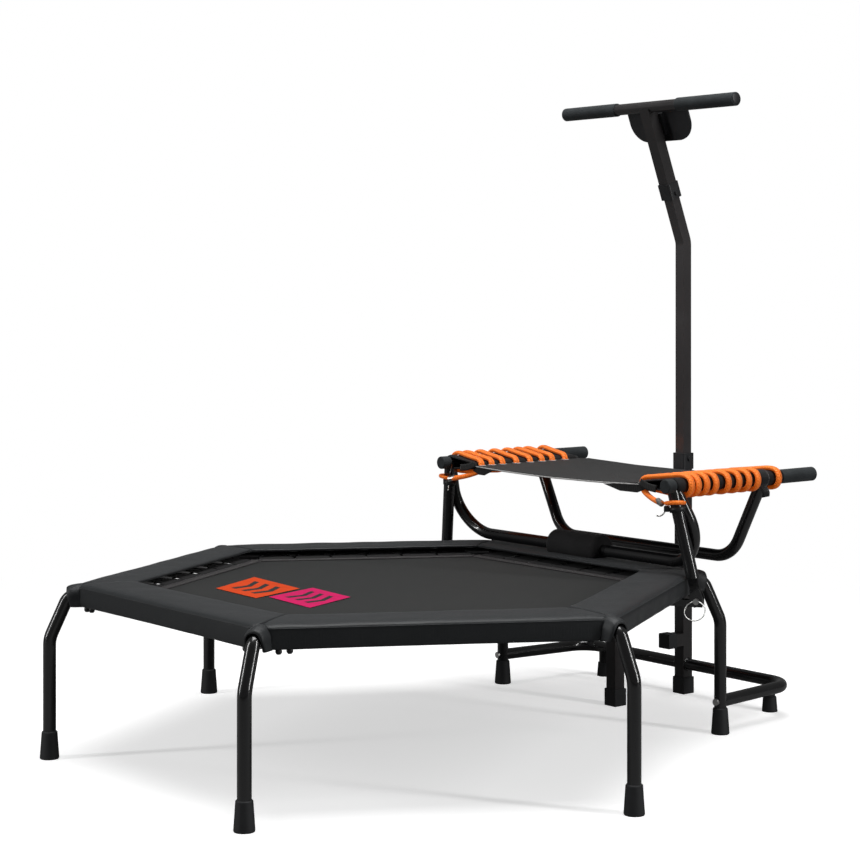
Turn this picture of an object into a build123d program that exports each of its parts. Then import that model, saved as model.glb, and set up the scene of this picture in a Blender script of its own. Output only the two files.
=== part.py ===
from build123d import *
import os
from math import cos, radians, sin

# Six-sided fitness trampoline with a laced step at its rear edge and a height-adjustable T-bar.
# Millimetres. The origin is on the floor under the centre of the jumping mat, +Z is up and
# +Y runs to the rear, where the step and the T-bar stand. Corners are numbered by their angle
# from +X: 0, 60, 120, 180, 240 and 300 degrees.

# ---- driving dimensions ---------------------------------------------------------------------
# rim
FRAME_R = 600.0  # centre of the hexagon to the crossing of two rails
RIM_Z = 319.0  # height of the rail axes
TUBE_D = 25.4
TUBE_WALL = 1.5
RAIL_GAP = 10.0  # rail end to the corner point
SLEEVE_WALL = 2.1  # corner connector
SLEEVE_REACH = 48.0
SOCKET_REACH = 30.0
SLEEVE_CLEARANCE = 0.2  # radial, tube in sleeve
# legs
LEG_OUT = 82.0  # from the crossing of two rails to the upright part of a leg
LEG_TOP_OUT = 45.0
LEG_KNEE_DROP = 84.0  # rail axis to the knee
LEG_TOP_BEND = 24.0
LEG_KNEE_BEND = 60.0
LEG_BOLT_D = 6.0
TIP_FLARE = 7.0  # how much wider a tip is at the floor
TIP_WALL = 2.8  # at the top of a tip
TIP_H = 54.0
TIP_FLOOR = 6.0  # rubber under the end of the tube
# rim pad
PAD_REACH_IN = 77.6  # from the rail axis to the edges of the pad
PAD_REACH_OUT = 31.4
PAD_T = 8.9
PAD_REST = 2.9  # top of the rails to the underside of the pad
PAD_SKIRT_T = 10.0
PAD_SKIRT_DROP = 22.0  # rail axis to the lower edge of the skirt
PAD_NOTCH_R = 22.0  # cut-out around each leg top
PAD_SEAM = 0.4
# jumping mat and its elastics
MAT_GAP = 2.0  # pad edge to mat edge
MAT_T = 2.0
HEM_W = 30.0
HEM_T = 5.0
LOOPS_PER_SIDE = 6
LOOP_PITCH = 80.0
LOOP_W = 28.0
LOOP_T = 5.0
LOOP_CLEAR = 1.5  # loop end to the mat hem
# T-bar base
BASE_Z = 67.0
BASE_BEHIND = 318.4
BASE_CORNER_IN = 26.0  # leg axis to the corner of the base
BASE_BEND = 55.0
BASE_STUB_IN = 57.0  # corner of the base to its foot stub
BASE_STUB_D = 24.0
BASE_FOOT_FLARE = 5.0
BASE_FOOT_WALL = 2.5
BASE_FOOT_H = 32.0
BOLT_D = 8.0
BOLT_HEAD_D = 14.0
BOLT_HEAD_H = 5.0
# posts
POST_W = 28.0
POST_WALL = 1.25
POST_TOP = 522.0
POST_FOOT_WALL = 3.5
POST_FOOT_H = 37.0
STUB_Z = 123.5
STUB_CAP_WALL = 2.5
STUB_BEHIND = 255.4
STUB_CAP_L = 26.0
SUPPORT_BEHIND = 102.4
SUPPORT_ARM_DROP = 37.0  # rail axis to the arm that reaches under the rear rail
# mast and T-bar
MAST_CLEAR = 0.25  # each side, mast in post and in stem
MAST_WALL = 1.5
MAST_FOOT_Z = 262.0
MAST_BEND_Z = 1026.0
MAST_BEND_R = 40.0
TILT = 21.1  # degrees from vertical, towards the mat
MAST_TIP = 250.0  # from the bend point, along the tilted part
STEM_START = 130.0  # from the bend point to the stem's lower end
HANDLE_S = 322.0  # from the bend point to the handlebar axis
CLAMP_WALL = 4.0
CLAMP_ON_TUBE = 12.0  # part of a clamp around the outer tube
CLAMP_ON_MAST = 24.0
CLAMP_CLEARANCE = 0.2
CLAMP_SCREW_D = 11.0
HANDLE_D = 25.0
HANDLE_HALF = 262.0
GRIP_WALL = 2.5
GRIP_IN = 94.0
GRIP_OUT = 266.0
PLATE_W = 186.0
PLATE_H = 79.0
PLATE_T = 4.0
PLATE_CORNER = 46.0
PLATE_DROP = 10.0  # handlebar axis to the plate's top edge
PLATE_BACK = 25.0  # stem axis to the plate's front face
# step
MAT_EDGE = 86.0  # bar axis to rod axis
STEP_RISE = 203.5  # rail axis to the axis of the step bars
BAR_FRONT = -103.6
BAR_REAR = 341.4
CAP_WALL = 1.55
CAP_FRONT = -106.6
CAP_L = 23.5
STEP_GRIP_WALL = 2.3
STEP_GRIP_START = 237.4
STEP_GRIP_STOP = 344.4
PIN_OUT = 96.0  # pin axis beyond the half length of a rail
PIN_BACK = -54.6
PIN_DROP = 25.0  # rail axis to the pin axis
UPRIGHT_END = 44.0  # pin axis to the lower end of the upright's tube
UPRIGHT_SPREAD = 42.0  # outward run of an upright from its bar to the pin
FRONT_HOOP_TOP_AT = (2.0, -72.6)  # from the bar axis and the rear rail
FRONT_HOOP_LOW_AT = (44.0, -13.6, 16.0)  # the last above the pad
FRONT_HOOP_BEND = 88.0
REAR_HOOP_TOP_AT = (-4.0, 191.4)
REAR_HOOP_LOW_AT = (-89.0, 188.4, -175.5)  # the last below the bars
REAR_HOOP_BEND = 72.0
ROLL_D = 66.0
ROLL_HALF = 75.0
ROLL_FLAT_GAP = 0.4  # flattened underside above the pad
# step mat and its side covers
ROD_DROP = 2.5  # bar axis to rod axis
ROD_D = 10.0
POCKET_R = 6.5
COVER_ROD_R = 8.5
COVER_WALL = 3.3
COVER_FRONT = -82.6
COVER_REAR = 232.4
STEP_MAT_DROP = 4.5  # bar axis to the middle of the mat
STEP_MAT_T = 3.0
STEP_MAT_FRONT = -79.6
STEP_MAT_REAR = 260.4
ROD_FRONT = -82.1
ROD_REAR = 237.4
# lacing
CORD_D = 10.0
CORD_CLEAR = 0.3
CORD_BEND = 10.0
CRIMP_L = 16.0
TURNS = {  # from the rear rail
    "right": (-50.6, -30.6, -5.6, 21.4, 58.4, 90.4, 120.4, 148.4, 213.4),
    "left": (-50.6, -25.6, 14.4, 58.4, 98.4, 132.4, 162.4, 213.4),
}
TAIL_AT = (-20.0, -95.6, -35.5)  # free front end of the cord, from the bar and the rail
# lynch pins
EAR_T = 3.0
TONGUE_T = 12.0
TONGUE_W = 20.0
EAR_CLEAR = 0.3
PIN_D = 8.0
PIN_BORE_CLEAR = 0.08
PIN_HEAD_D = 12.0
PIN_HEAD_L = 9.0
RING_R = 21.0
RING_WIRE = 2.5
RING_HOLE_D = 5.0
RING_TILT = 35.0  # degrees forward of hanging straight down

# ---- sizes worked out from them -------------------------------------------------------------
COS30 = cos(radians(30))
RAIL_APOTHEM = FRAME_R * COS30
SLEEVE_D = TUBE_D + 2 * (SLEEVE_CLEARANCE + SLEEVE_WALL)
TIP_TOP_D = TUBE_D + 2 * TIP_WALL
TIP_BOTTOM_D = TIP_TOP_D + TIP_FLARE
BASE_FOOT_TOP_D = BASE_STUB_D + 2 * BASE_FOOT_WALL
BASE_FOOT_BOTTOM_D = BASE_FOOT_TOP_D + BASE_FOOT_FLARE
POST_FOOT_W = POST_W + 2 * POST_FOOT_WALL
STUB_CAP_W = POST_W + 2 * STUB_CAP_WALL
MAST_W = POST_W - 2 * (POST_WALL + MAST_CLEAR)
CLAMP_W = POST_W + 2 * CLAMP_WALL
GRIP_D = HANDLE_D + 2 * GRIP_WALL
STEP_GRIP_D = TUBE_D + 2 * STEP_GRIP_WALL
CAP_D = TUBE_D + 2 * CAP_WALL
COVER_R = TUBE_D / 2 + COVER_WALL
LEG_R = FRAME_R + LEG_OUT
LEG_TOP_R = FRAME_R + LEG_TOP_OUT
LEG_KNEE_Z = RIM_Z - LEG_KNEE_DROP
PAD_INNER = RAIL_APOTHEM - PAD_REACH_IN
PAD_OUTER = RAIL_APOTHEM + PAD_REACH_OUT
PAD_UNDER = RIM_Z + TUBE_D / 2 + PAD_REST
PAD_TOP = PAD_UNDER + PAD_T
PAD_SKIRT_Z = RIM_Z - PAD_SKIRT_DROP
MAT_APOTHEM = PAD_INNER - MAT_GAP
BASE_CORNER_X = LEG_R / 2 - BASE_CORNER_IN
BASE_STUB_X = BASE_CORNER_X - BASE_STUB_IN
SUPPORT_ARM_Z = RIM_Z - SUPPORT_ARM_DROP
PIN_X = FRAME_R / 2 + PIN_OUT
PIN_Z = RIM_Z - PIN_DROP
UPRIGHT_TUBE_Z = PIN_Z + UPRIGHT_END
BAR_X = PIN_X - UPRIGHT_SPREAD
BAR_Z = RIM_Z + STEP_RISE
ROD_X = BAR_X - MAT_EDGE
ROD_Z = BAR_Z - ROD_DROP
STEP_MAT_Z = BAR_Z - STEP_MAT_DROP
BASE_REAR_Y = RAIL_APOTHEM + BASE_BEHIND
STUB_FRONT_Y = RAIL_APOTHEM + STUB_BEHIND
SUPPORT_Y = RAIL_APOTHEM + SUPPORT_BEHIND
BAR_FRONT_Y = RAIL_APOTHEM + BAR_FRONT
BAR_REAR_Y = RAIL_APOTHEM + BAR_REAR
CAP_FRONT_Y = RAIL_APOTHEM + CAP_FRONT
STEP_GRIP_Y = RAIL_APOTHEM + STEP_GRIP_START
STEP_GRIP_END = RAIL_APOTHEM + STEP_GRIP_STOP
PIN_Y = RAIL_APOTHEM + PIN_BACK
COVER_FRONT_Y = RAIL_APOTHEM + COVER_FRONT
COVER_REAR_Y = RAIL_APOTHEM + COVER_REAR
STEP_MAT_FRONT_Y = RAIL_APOTHEM + STEP_MAT_FRONT
STEP_MAT_REAR_Y = RAIL_APOTHEM + STEP_MAT_REAR
ROD_FRONT_Y = RAIL_APOTHEM + ROD_FRONT
ROD_REAR_Y = RAIL_APOTHEM + ROD_REAR
FRONT_HOOP_TOP = (BAR_X + FRONT_HOOP_TOP_AT[0], RAIL_APOTHEM + FRONT_HOOP_TOP_AT[1])
FRONT_HOOP_LOW = (
    BAR_X + FRONT_HOOP_LOW_AT[0],
    RAIL_APOTHEM + FRONT_HOOP_LOW_AT[1],
    PAD_TOP + FRONT_HOOP_LOW_AT[2],
)
REAR_HOOP_TOP = (BAR_X + REAR_HOOP_TOP_AT[0], RAIL_APOTHEM + REAR_HOOP_TOP_AT[1])
REAR_HOOP_LOW = (
    BAR_X + REAR_HOOP_LOW_AT[0],
    RAIL_APOTHEM + REAR_HOOP_LOW_AT[1],
    BAR_Z + REAR_HOOP_LOW_AT[2],
)
TURNS_Y = {side: [RAIL_APOTHEM + y for y in turns] for side, turns in TURNS.items()}
TAIL = (BAR_X + TAIL_AT[0], RAIL_APOTHEM + TAIL_AT[1], BAR_Z + TAIL_AT[2])
MAST_Y = BASE_REAR_Y
STEM_DIR = (0, -sin(radians(TILT)), cos(radians(TILT)))
REAR_LEG = (LEG_R / 2, LEG_R * COS30)
RAIL_N = (COS30, 0.5, 0.0)  # outward normal of the rear right rail
RAIL_T = (0.5, -COS30, 0.0)  # along that rail, forward
PIN_N = PIN_X * RAIL_N[0] + PIN_Y * RAIL_N[1]
PIN_S = PIN_X * RAIL_T[0] + PIN_Y * RAIL_T[1]
UPRIGHT_TOP = (
    PIN_X - UPRIGHT_SPREAD,
    PIN_Y - UPRIGHT_SPREAD * 0.5 / COS30,
    BAR_Z - TUBE_D / 2 - 5,
)
SLEEVE_BORE = TUBE_D / 2 + SLEEVE_CLEARANCE
CORNERS = {
    "right": 0,
    "rear_right": 60,
    "rear_left": 120,
    "left": 180,
    "front_left": 240,
    "front_right": 300,
}
RAILS = {
    "rear_right": 30,
    "rear": 90,
    "rear_left": 150,
    "front_left": 210,
    "front": 270,
    "front_right": 330,
}
SIDES = {"right": 1, "left": -1}

os.makedirs("parts", exist_ok=True)


def save(part, name):
    """Label one finished piece and write its STEP file."""
    part.label = name
    export_step(part, f"parts/{name}.step")
    return part


def mirrored(part, side):
    """The piece itself on the right, or its mirror image on the left."""
    return part if side == "right" else mirror(part, about=Plane.YZ)


def bent_tube(points, radii, outer, wall):
    """Round tube along straight runs joined by arcs."""
    with BuildPart() as tube:
        with BuildLine() as route:
            FilletPolyline(*points, radius=radii)
        with BuildSketch(Plane(origin=route.line @ 0, z_dir=route.line % 0)):
            Circle(outer / 2)
            if wall:
                Circle(outer / 2 - wall, mode=Mode.SUBTRACT)
        sweep(path=route.line)
    return tube.part


def rod(start, end, diameter):
    """Solid round rod between two points, used for pins and as a cutter."""
    axis = Vector(*end) - Vector(*start)
    with BuildPart() as made:
        with BuildSketch(Plane(origin=start, z_dir=axis)):
            Circle(diameter / 2)
        extrude(amount=axis.length)
    return made.part


def rail_point(normal, along, height):
    """A point given by its distance out from, and along, the rear right rail."""
    x = normal * RAIL_N[0] + along * RAIL_T[0]
    y = normal * RAIL_N[1] + along * RAIL_T[1]
    return (x, y, height)


# ---- rim: rails, corner connectors, legs ------------------------------------------------------
rail_half = FRAME_R / 2 - RAIL_GAP
with BuildPart() as rail:
    with BuildSketch(Plane(origin=(RAIL_APOTHEM, -rail_half, RIM_Z), z_dir=(0, 1, 0))):
        Circle(TUBE_D / 2)
        Circle(TUBE_D / 2 - TUBE_WALL, mode=Mode.SUBTRACT)
    extrude(amount=2 * rail_half)
for name, angle in RAILS.items():
    save(rail.part.rotate(Axis.Z, angle), f"rail_{name}")

corner = (FRAME_R, 0, RIM_Z)
rail_dirs = [(-0.5, COS30, 0), (-0.5, -COS30, 0)]
with BuildPart() as connector:
    with Locations(corner):
        Sphere(SLEEVE_D / 2)
    for direction in rail_dirs:
        with BuildSketch(Plane(origin=corner, z_dir=direction)):
            Circle(SLEEVE_D / 2)
        extrude(amount=SLEEVE_REACH)
    with BuildSketch(Plane(origin=corner, z_dir=(1, 0, 0))):
        Circle(SLEEVE_D / 2)
    extrude(amount=SOCKET_REACH)
    for direction in rail_dirs:
        start = Vector(*corner) + Vector(*direction) * RAIL_GAP
        with BuildSketch(Plane(origin=start, z_dir=direction)):
            Circle(SLEEVE_BORE)
        extrude(amount=SLEEVE_REACH, mode=Mode.SUBTRACT)
    leg_start = FRAME_R + 12
    with BuildSketch(Plane(origin=(leg_start, 0, RIM_Z), z_dir=(1, 0, 0))):
        Circle(SLEEVE_BORE)
    extrude(amount=SOCKET_REACH, mode=Mode.SUBTRACT)
    bolt_r = leg_start + 8
    with Locations((bolt_r, 0, RIM_Z)):
        Cylinder(LEG_BOLT_D / 2 + 0.2, SLEEVE_D + 2, mode=Mode.SUBTRACT)
with BuildPart() as corner_connectors:
    with PolarLocations(0, 6):
        add(connector.part)
save(corner_connectors.part, "corner_connectors")

with BuildPart() as leg_bolts:
    with PolarLocations(bolt_r, 6):
        with Locations((0, 0, RIM_Z)):
            Cylinder(LEG_BOLT_D / 2, SLEEVE_D - 1)
        with Locations((0, 0, RIM_Z - SLEEVE_D / 2 - 2)):
            Cylinder(LEG_BOLT_D * 0.9, 4)
save(leg_bolts.part, "leg_bolts")

leg_route = [
    (leg_start, 0, RIM_Z),
    (LEG_TOP_R, 0, RIM_Z),
    (LEG_R, 0, LEG_KNEE_Z),
    (LEG_R, 0, TIP_FLOOR),
]
plain_leg = bent_tube(leg_route, [LEG_TOP_BEND, LEG_KNEE_BEND], TUBE_D, TUBE_WALL)
base_corner = Vector(BASE_CORNER_X, BASE_REAR_Y, BASE_Z)
arm_start = Vector(REAR_LEG[0], REAR_LEG[1], BASE_Z)
arm_dir = (base_corner - arm_start).normalized()
bolt_outer = arm_start - arm_dir * (TUBE_D / 2 + BOLT_HEAD_H)
bolt_inner = arm_start + arm_dir * (TUBE_D / 2 + 12)
for name, angle in CORNERS.items():
    with BuildPart() as leg:
        add(plain_leg)
        with Locations((bolt_r, 0, RIM_Z)):
            Cylinder(LEG_BOLT_D / 2 + 0.2, SLEEVE_D, mode=Mode.SUBTRACT)
    placed = leg.part.rotate(Axis.Z, angle)
    if name in ("rear_right", "rear_left"):
        hole = rod(bolt_outer, bolt_inner, BOLT_D + 0.2)
        with BuildPart() as leg:
            add(placed)
            add(mirrored(hole, name[5:]), mode=Mode.SUBTRACT)
        placed = leg.part
    save(placed, f"leg_{name}")

with BuildPart() as tip:
    with BuildSketch(Plane.XZ):
        with BuildLine():
            Polyline(
                (LEG_R, 0),
                (LEG_R + TIP_BOTTOM_D / 2 - 1, 0),
                (LEG_R + TIP_BOTTOM_D / 2, 2),
                (LEG_R + TIP_TOP_D / 2, TIP_H - 2),
                (LEG_R + TIP_TOP_D / 2 - 2, TIP_H),
                (LEG_R, TIP_H),
                close=True,
            )
        make_face()
    revolve(axis=Axis((LEG_R, 0, 0), (0, 0, 1)))
    with Locations((LEG_R, 0, TIP_FLOOR + TIP_H / 2)):
        Cylinder(TUBE_D / 2, TIP_H, mode=Mode.SUBTRACT)
with BuildPart() as leg_tips:
    with PolarLocations(0, 6):
        add(tip.part)
save(leg_tips.part, "leg_tips")

# ---- jumping mat, elastics and pad ------------------------------------------------------------
with BuildPart() as jumping_mat:
    with BuildSketch(Plane.XY.offset(RIM_Z - MAT_T / 2)):
        RegularPolygon(MAT_APOTHEM, 6, major_radius=False)
    extrude(amount=MAT_T)
    with BuildSketch(Plane.XY.offset(RIM_Z - HEM_T / 2)):
        RegularPolygon(MAT_APOTHEM, 6, major_radius=False)
        RegularPolygon(MAT_APOTHEM - HEM_W, 6, major_radius=False, mode=Mode.SUBTRACT)
    extrude(amount=HEM_T)
save(jumping_mat.part, "jumping_mat")

loop_in = MAT_APOTHEM + LOOP_CLEAR
loop_out = RAIL_APOTHEM - TUBE_D / 2 - 0.3
with BuildPart() as elastic_loops:
    for angle in RAILS.values():
        side_plane = Plane.XY.rotated((0, 0, angle))
        with Locations(side_plane.offset(RIM_Z)):
            with Locations(((loop_in + loop_out) / 2, 0, 0)):
                with GridLocations(1, LOOP_PITCH, 1, LOOPS_PER_SIDE):
                    Box(loop_out - loop_in, LOOP_W, LOOP_T)
save(elastic_loops.part, "elastic_loops")

with BuildPart() as rim_pad:
    with BuildSketch(Plane.XY.offset(PAD_UNDER)):
        RegularPolygon(PAD_OUTER, 6, major_radius=False)
        RegularPolygon(PAD_INNER, 6, major_radius=False, mode=Mode.SUBTRACT)
    extrude(amount=PAD_TOP - PAD_UNDER)
    with BuildSketch(Plane.XY.offset(PAD_SKIRT_Z)):
        RegularPolygon(PAD_OUTER, 6, major_radius=False)
        RegularPolygon(PAD_OUTER - PAD_SKIRT_T, 6, major_radius=False, mode=Mode.SUBTRACT)
    extrude(amount=PAD_UNDER - PAD_SKIRT_Z)
    with PolarLocations(LEG_TOP_R, 6):
        with Locations((0, 0, RIM_Z)):
            Cylinder(PAD_NOTCH_R, 100, mode=Mode.SUBTRACT)
        with Locations((0, 0, PAD_UNDER - 50)):
            Box(100, 2 * PAD_NOTCH_R, 100, mode=Mode.SUBTRACT)
    with PolarLocations(FRAME_R - 30, 6):
        with Locations((0, 0, RIM_Z)):
            Box(200, PAD_SEAM, 100, mode=Mode.SUBTRACT)
save(rim_pad.part, "rim_pad")

# ---- T-bar base: bent tube, bolts and feet ----------------------------------------------------
base_route = [
    (REAR_LEG[0], REAR_LEG[1], BASE_Z),
    (BASE_CORNER_X, BASE_REAR_Y, BASE_Z),
    (-BASE_CORNER_X, BASE_REAR_Y, BASE_Z),
    (-REAR_LEG[0], REAR_LEG[1], BASE_Z),
]
base_tube = bent_tube(base_route, BASE_BEND, TUBE_D, TUBE_WALL)
base_bolt_hole = rod(bolt_outer, bolt_inner, BOLT_D)
with BuildPart() as base_frame:
    add(base_tube)
    for sign in SIDES.values():
        with Locations((sign * BASE_STUB_X, BASE_REAR_Y, (TIP_FLOOR + BASE_Z) / 2)):
            Cylinder(BASE_STUB_D / 2, BASE_Z - TIP_FLOOR)
        with Locations((sign * REAR_LEG[0], REAR_LEG[1], BASE_Z)):
            Cylinder(TUBE_D / 2 + 0.05, 4 * TUBE_D, mode=Mode.SUBTRACT)
save(base_frame.part, "base_frame")

with BuildPart() as base_bolts:
    for side in SIDES:
        add(mirrored(base_bolt_hole, side))
        head_end = bolt_outer + arm_dir * (BOLT_HEAD_H - 0.3)
        add(mirrored(rod(bolt_outer, head_end, BOLT_HEAD_D), side))
save(base_bolts.part, "base_bolts")

with BuildPart() as base_foot:
    with Locations((BASE_STUB_X, BASE_REAR_Y, BASE_FOOT_H / 2)):
        Cone(BASE_FOOT_BOTTOM_D / 2, BASE_FOOT_TOP_D / 2, BASE_FOOT_H)
    with Locations((BASE_STUB_X, BASE_REAR_Y, TIP_FLOOR + BASE_FOOT_H / 2)):
        Cylinder(BASE_STUB_D / 2, BASE_FOOT_H, mode=Mode.SUBTRACT)
with BuildPart() as base_feet:
    add(base_foot.part)
    add(mirror(base_foot.part, about=Plane.YZ))
save(base_feet.part, "base_feet")

# ---- posts ------------------------------------------------------------------------------------
with BuildPart() as tbar_post:
    with BuildSketch(Plane.XY.offset(TIP_FLOOR)):
        with Locations((0, MAST_Y)):
            Rectangle(POST_W, POST_W)
            Rectangle(POST_W - 2 * POST_WALL, POST_W - 2 * POST_WALL, mode=Mode.SUBTRACT)
    extrude(amount=POST_TOP - TIP_FLOOR)
    add(rod((-POST_W, MAST_Y, BASE_Z), (POST_W, MAST_Y, BASE_Z), TUBE_D), mode=Mode.SUBTRACT)
    stub_front = STUB_FRONT_Y + 3
    stub_len = MAST_Y - POST_W / 2 - stub_front
    with BuildSketch(Plane(origin=(0, stub_front, STUB_Z), x_dir=(1, 0, 0), z_dir=(0, 1, 0))):
        Rectangle(POST_W, POST_W)
        Rectangle(POST_W - 2 * POST_WALL, POST_W - 2 * POST_WALL, mode=Mode.SUBTRACT)
    extrude(amount=stub_len)
save(tbar_post.part, "tbar_post")

with BuildPart() as post_stub_cap:
    with Locations((0, STUB_FRONT_Y + STUB_CAP_L / 2, STUB_Z)):
        Box(STUB_CAP_W, STUB_CAP_L, STUB_CAP_W)
    fillet(post_stub_cap.edges().filter_by(Axis.Y), 2)
    with Locations((0, stub_front + STUB_CAP_L / 2, STUB_Z)):
        Box(POST_W, STUB_CAP_L, POST_W, mode=Mode.SUBTRACT)
save(post_stub_cap.part, "post_stub_cap")


def post_foot(y):
    """Square rubber foot with a pocket for a post standing at y."""
    with BuildPart() as foot:
        with Locations((0, y, POST_FOOT_H / 2)):
            Box(POST_FOOT_W, POST_FOOT_W, POST_FOOT_H)
        fillet(foot.edges().filter_by(Axis.Z), 2)
        with Locations((0, y, TIP_FLOOR + POST_FOOT_H / 2)):
            Box(POST_W, POST_W, POST_FOOT_H, mode=Mode.SUBTRACT)
    return foot.part


save(post_foot(MAST_Y), "tbar_post_foot")
save(post_foot(SUPPORT_Y), "support_post_foot")

arm_top = SUPPORT_ARM_Z + POST_W / 2
arm_front = RAIL_APOTHEM - POST_W / 2
with BuildPart() as support_post:
    with BuildSketch(Plane.XY.offset(TIP_FLOOR)):
        with Locations((0, SUPPORT_Y)):
            Rectangle(POST_W, POST_W)
            Rectangle(POST_W - 2 * POST_WALL, POST_W - 2 * POST_WALL, mode=Mode.SUBTRACT)
    extrude(amount=arm_top - TIP_FLOOR)
    arm_plane = Plane(origin=(0, arm_front, SUPPORT_ARM_Z), x_dir=(1, 0, 0), z_dir=(0, 1, 0))
    with BuildSketch(arm_plane):
        Rectangle(POST_W, POST_W)
        Rectangle(POST_W - 2 * POST_WALL, POST_W - 2 * POST_WALL, mode=Mode.SUBTRACT)
    extrude(amount=SUPPORT_Y - POST_W / 2 - arm_front)
save(support_post.part, "support_post")

with BuildPart() as support_saddle:
    saddle_h = RIM_Z - arm_top
    with Locations((0, RAIL_APOTHEM, arm_top + saddle_h / 2)):
        Box(2 * TUBE_D, POST_W, saddle_h)
    beside = 2 * TUBE_D
    saddle_cut = rod((-beside, RAIL_APOTHEM, RIM_Z), (beside, RAIL_APOTHEM, RIM_Z), TUBE_D)
    add(saddle_cut, mode=Mode.SUBTRACT)
save(support_saddle.part, "support_saddle")

# ---- mast, T-bar and their clamps ---------------------------------------------------------------


def along_stem(distance, back=0.0):
    """A point at a distance up the tilted part from the bend, and some way behind its axis."""
    y = MAST_Y + distance * STEM_DIR[1] + back * STEM_DIR[2]
    z = MAST_BEND_Z + distance * STEM_DIR[2] - back * STEM_DIR[1]
    return (0, y, z)


with BuildPart() as mast:
    with BuildLine() as mast_route:
        FilletPolyline(
            (0, MAST_Y, MAST_FOOT_Z), along_stem(0), along_stem(MAST_TIP), radius=MAST_BEND_R
        )
    with BuildSketch(Plane.XY.offset(MAST_FOOT_Z)):
        with Locations((0, MAST_Y)):
            Rectangle(MAST_W, MAST_W)
            Rectangle(MAST_W - 2 * MAST_WALL, MAST_W - 2 * MAST_WALL, mode=Mode.SUBTRACT)
    sweep(path=mast_route.line)
save(mast.part, "mast")

stem_plane = Plane(origin=along_stem(STEM_START), x_dir=(1, 0, 0), z_dir=STEM_DIR)
handle_centre = along_stem(HANDLE_S)
handle_start = (-HANDLE_HALF, handle_centre[1], handle_centre[2])
handle_end = (HANDLE_HALF, handle_centre[1], handle_centre[2])
with BuildPart() as tbar_stem:
    with BuildSketch(stem_plane):
        Rectangle(POST_W, POST_W)
        Rectangle(POST_W - 2 * POST_WALL, POST_W - 2 * POST_WALL, mode=Mode.SUBTRACT)
    extrude(amount=HANDLE_S - STEM_START)
    add(rod(handle_start, handle_end, HANDLE_D), mode=Mode.SUBTRACT)
save(tbar_stem.part, "tbar_stem")


def clamp_collar(seat):
    """Collar on an outer tube's end: seat is that end, its normal pointing off the tube."""
    with BuildPart() as collar:
        with BuildSketch(seat.offset(-CLAMP_ON_TUBE)):
            RectangleRounded(CLAMP_W, CLAMP_W, 1.5 * CLAMP_WALL)
        extrude(amount=CLAMP_ON_TUBE + CLAMP_ON_MAST)
        with BuildSketch(seat.offset(-CLAMP_ON_TUBE)):
            Rectangle(POST_W, POST_W)
        extrude(amount=CLAMP_ON_TUBE, mode=Mode.SUBTRACT)
        with BuildSketch(seat):
            Rectangle(MAST_W + 2 * CLAMP_CLEARANCE, MAST_W + 2 * CLAMP_CLEARANCE)
        extrude(amount=CLAMP_ON_MAST, mode=Mode.SUBTRACT)
    return collar.part


def clamp_screw(seat):
    """Pinch screw in the right-hand face of a collar."""
    centre = seat.origin + seat.x_dir * (CLAMP_W / 2 - 3) + seat.z_dir * (CLAMP_ON_MAST / 2)
    face = Plane(origin=centre, z_dir=seat.x_dir)
    with BuildPart() as screw:
        with BuildSketch(face):
            Circle(CLAMP_SCREW_D / 4)
        extrude(amount=3)
        with BuildSketch(face.offset(3)):
            Circle(CLAMP_SCREW_D / 2)
        extrude(amount=4)
    return screw.part


lower_seat = Plane(origin=(0, MAST_Y, POST_TOP), x_dir=(1, 0, 0), z_dir=(0, 0, 1))
upper_seat = Plane(
    origin=along_stem(STEM_START),
    x_dir=(1, 0, 0),
    z_dir=(0, -STEM_DIR[1], -STEM_DIR[2]),
)
for name, seat in (("lower", lower_seat), ("upper", upper_seat)):
    screw_part = clamp_screw(seat)
    with BuildPart() as clamp:
        add(clamp_collar(seat))
        add(screw_part, mode=Mode.SUBTRACT)
    save(clamp.part, f"{name}_clamp")
    save(screw_part, f"{name}_clamp_screw")

with BuildPart() as handlebar:
    with BuildSketch(Plane(origin=handle_start, z_dir=(1, 0, 0))):
        Circle(HANDLE_D / 2)
        Circle(HANDLE_D / 2 - TUBE_WALL, mode=Mode.SUBTRACT)
    extrude(amount=2 * HANDLE_HALF)
save(handlebar.part, "handlebar")

grip_start = Plane(origin=(GRIP_IN, *handle_centre[1:]), z_dir=(1, 0, 0))
with BuildPart() as handle_grip:
    with BuildSketch(grip_start):
        Circle(GRIP_D / 2)
    extrude(amount=GRIP_OUT - GRIP_IN)
    fillet(handle_grip.edges().filter_by(GeomType.CIRCLE), 2)
    with BuildSketch(grip_start):
        Circle(HANDLE_D / 2)
    extrude(amount=HANDLE_HALF - GRIP_IN, mode=Mode.SUBTRACT)
for side in SIDES:
    save(mirrored(handle_grip.part, side), f"handlebar_grip_{side}")

plate_plane = Plane(
    origin=along_stem(HANDLE_S - PLATE_DROP, PLATE_BACK),
    x_dir=(1, 0, 0),
    z_dir=(0, STEM_DIR[2], -STEM_DIR[1]),
)
with BuildPart() as console_plate:
    with BuildSketch(plate_plane) as plate_face:
        with Locations((0, PLATE_H / 2)):
            Rectangle(PLATE_W, PLATE_H)
        fillet(plate_face.vertices().sort_by(Axis.Y)[-2:], PLATE_CORNER)
    extrude(amount=PLATE_T)
    with BuildSketch(plate_plane):
        with Locations((0, PLATE_H * 0.45)):
            Rectangle(40, 50)
    extrude(amount=POST_W / 2 - PLATE_BACK)
save(console_plate.part, "console_plate")

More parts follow.
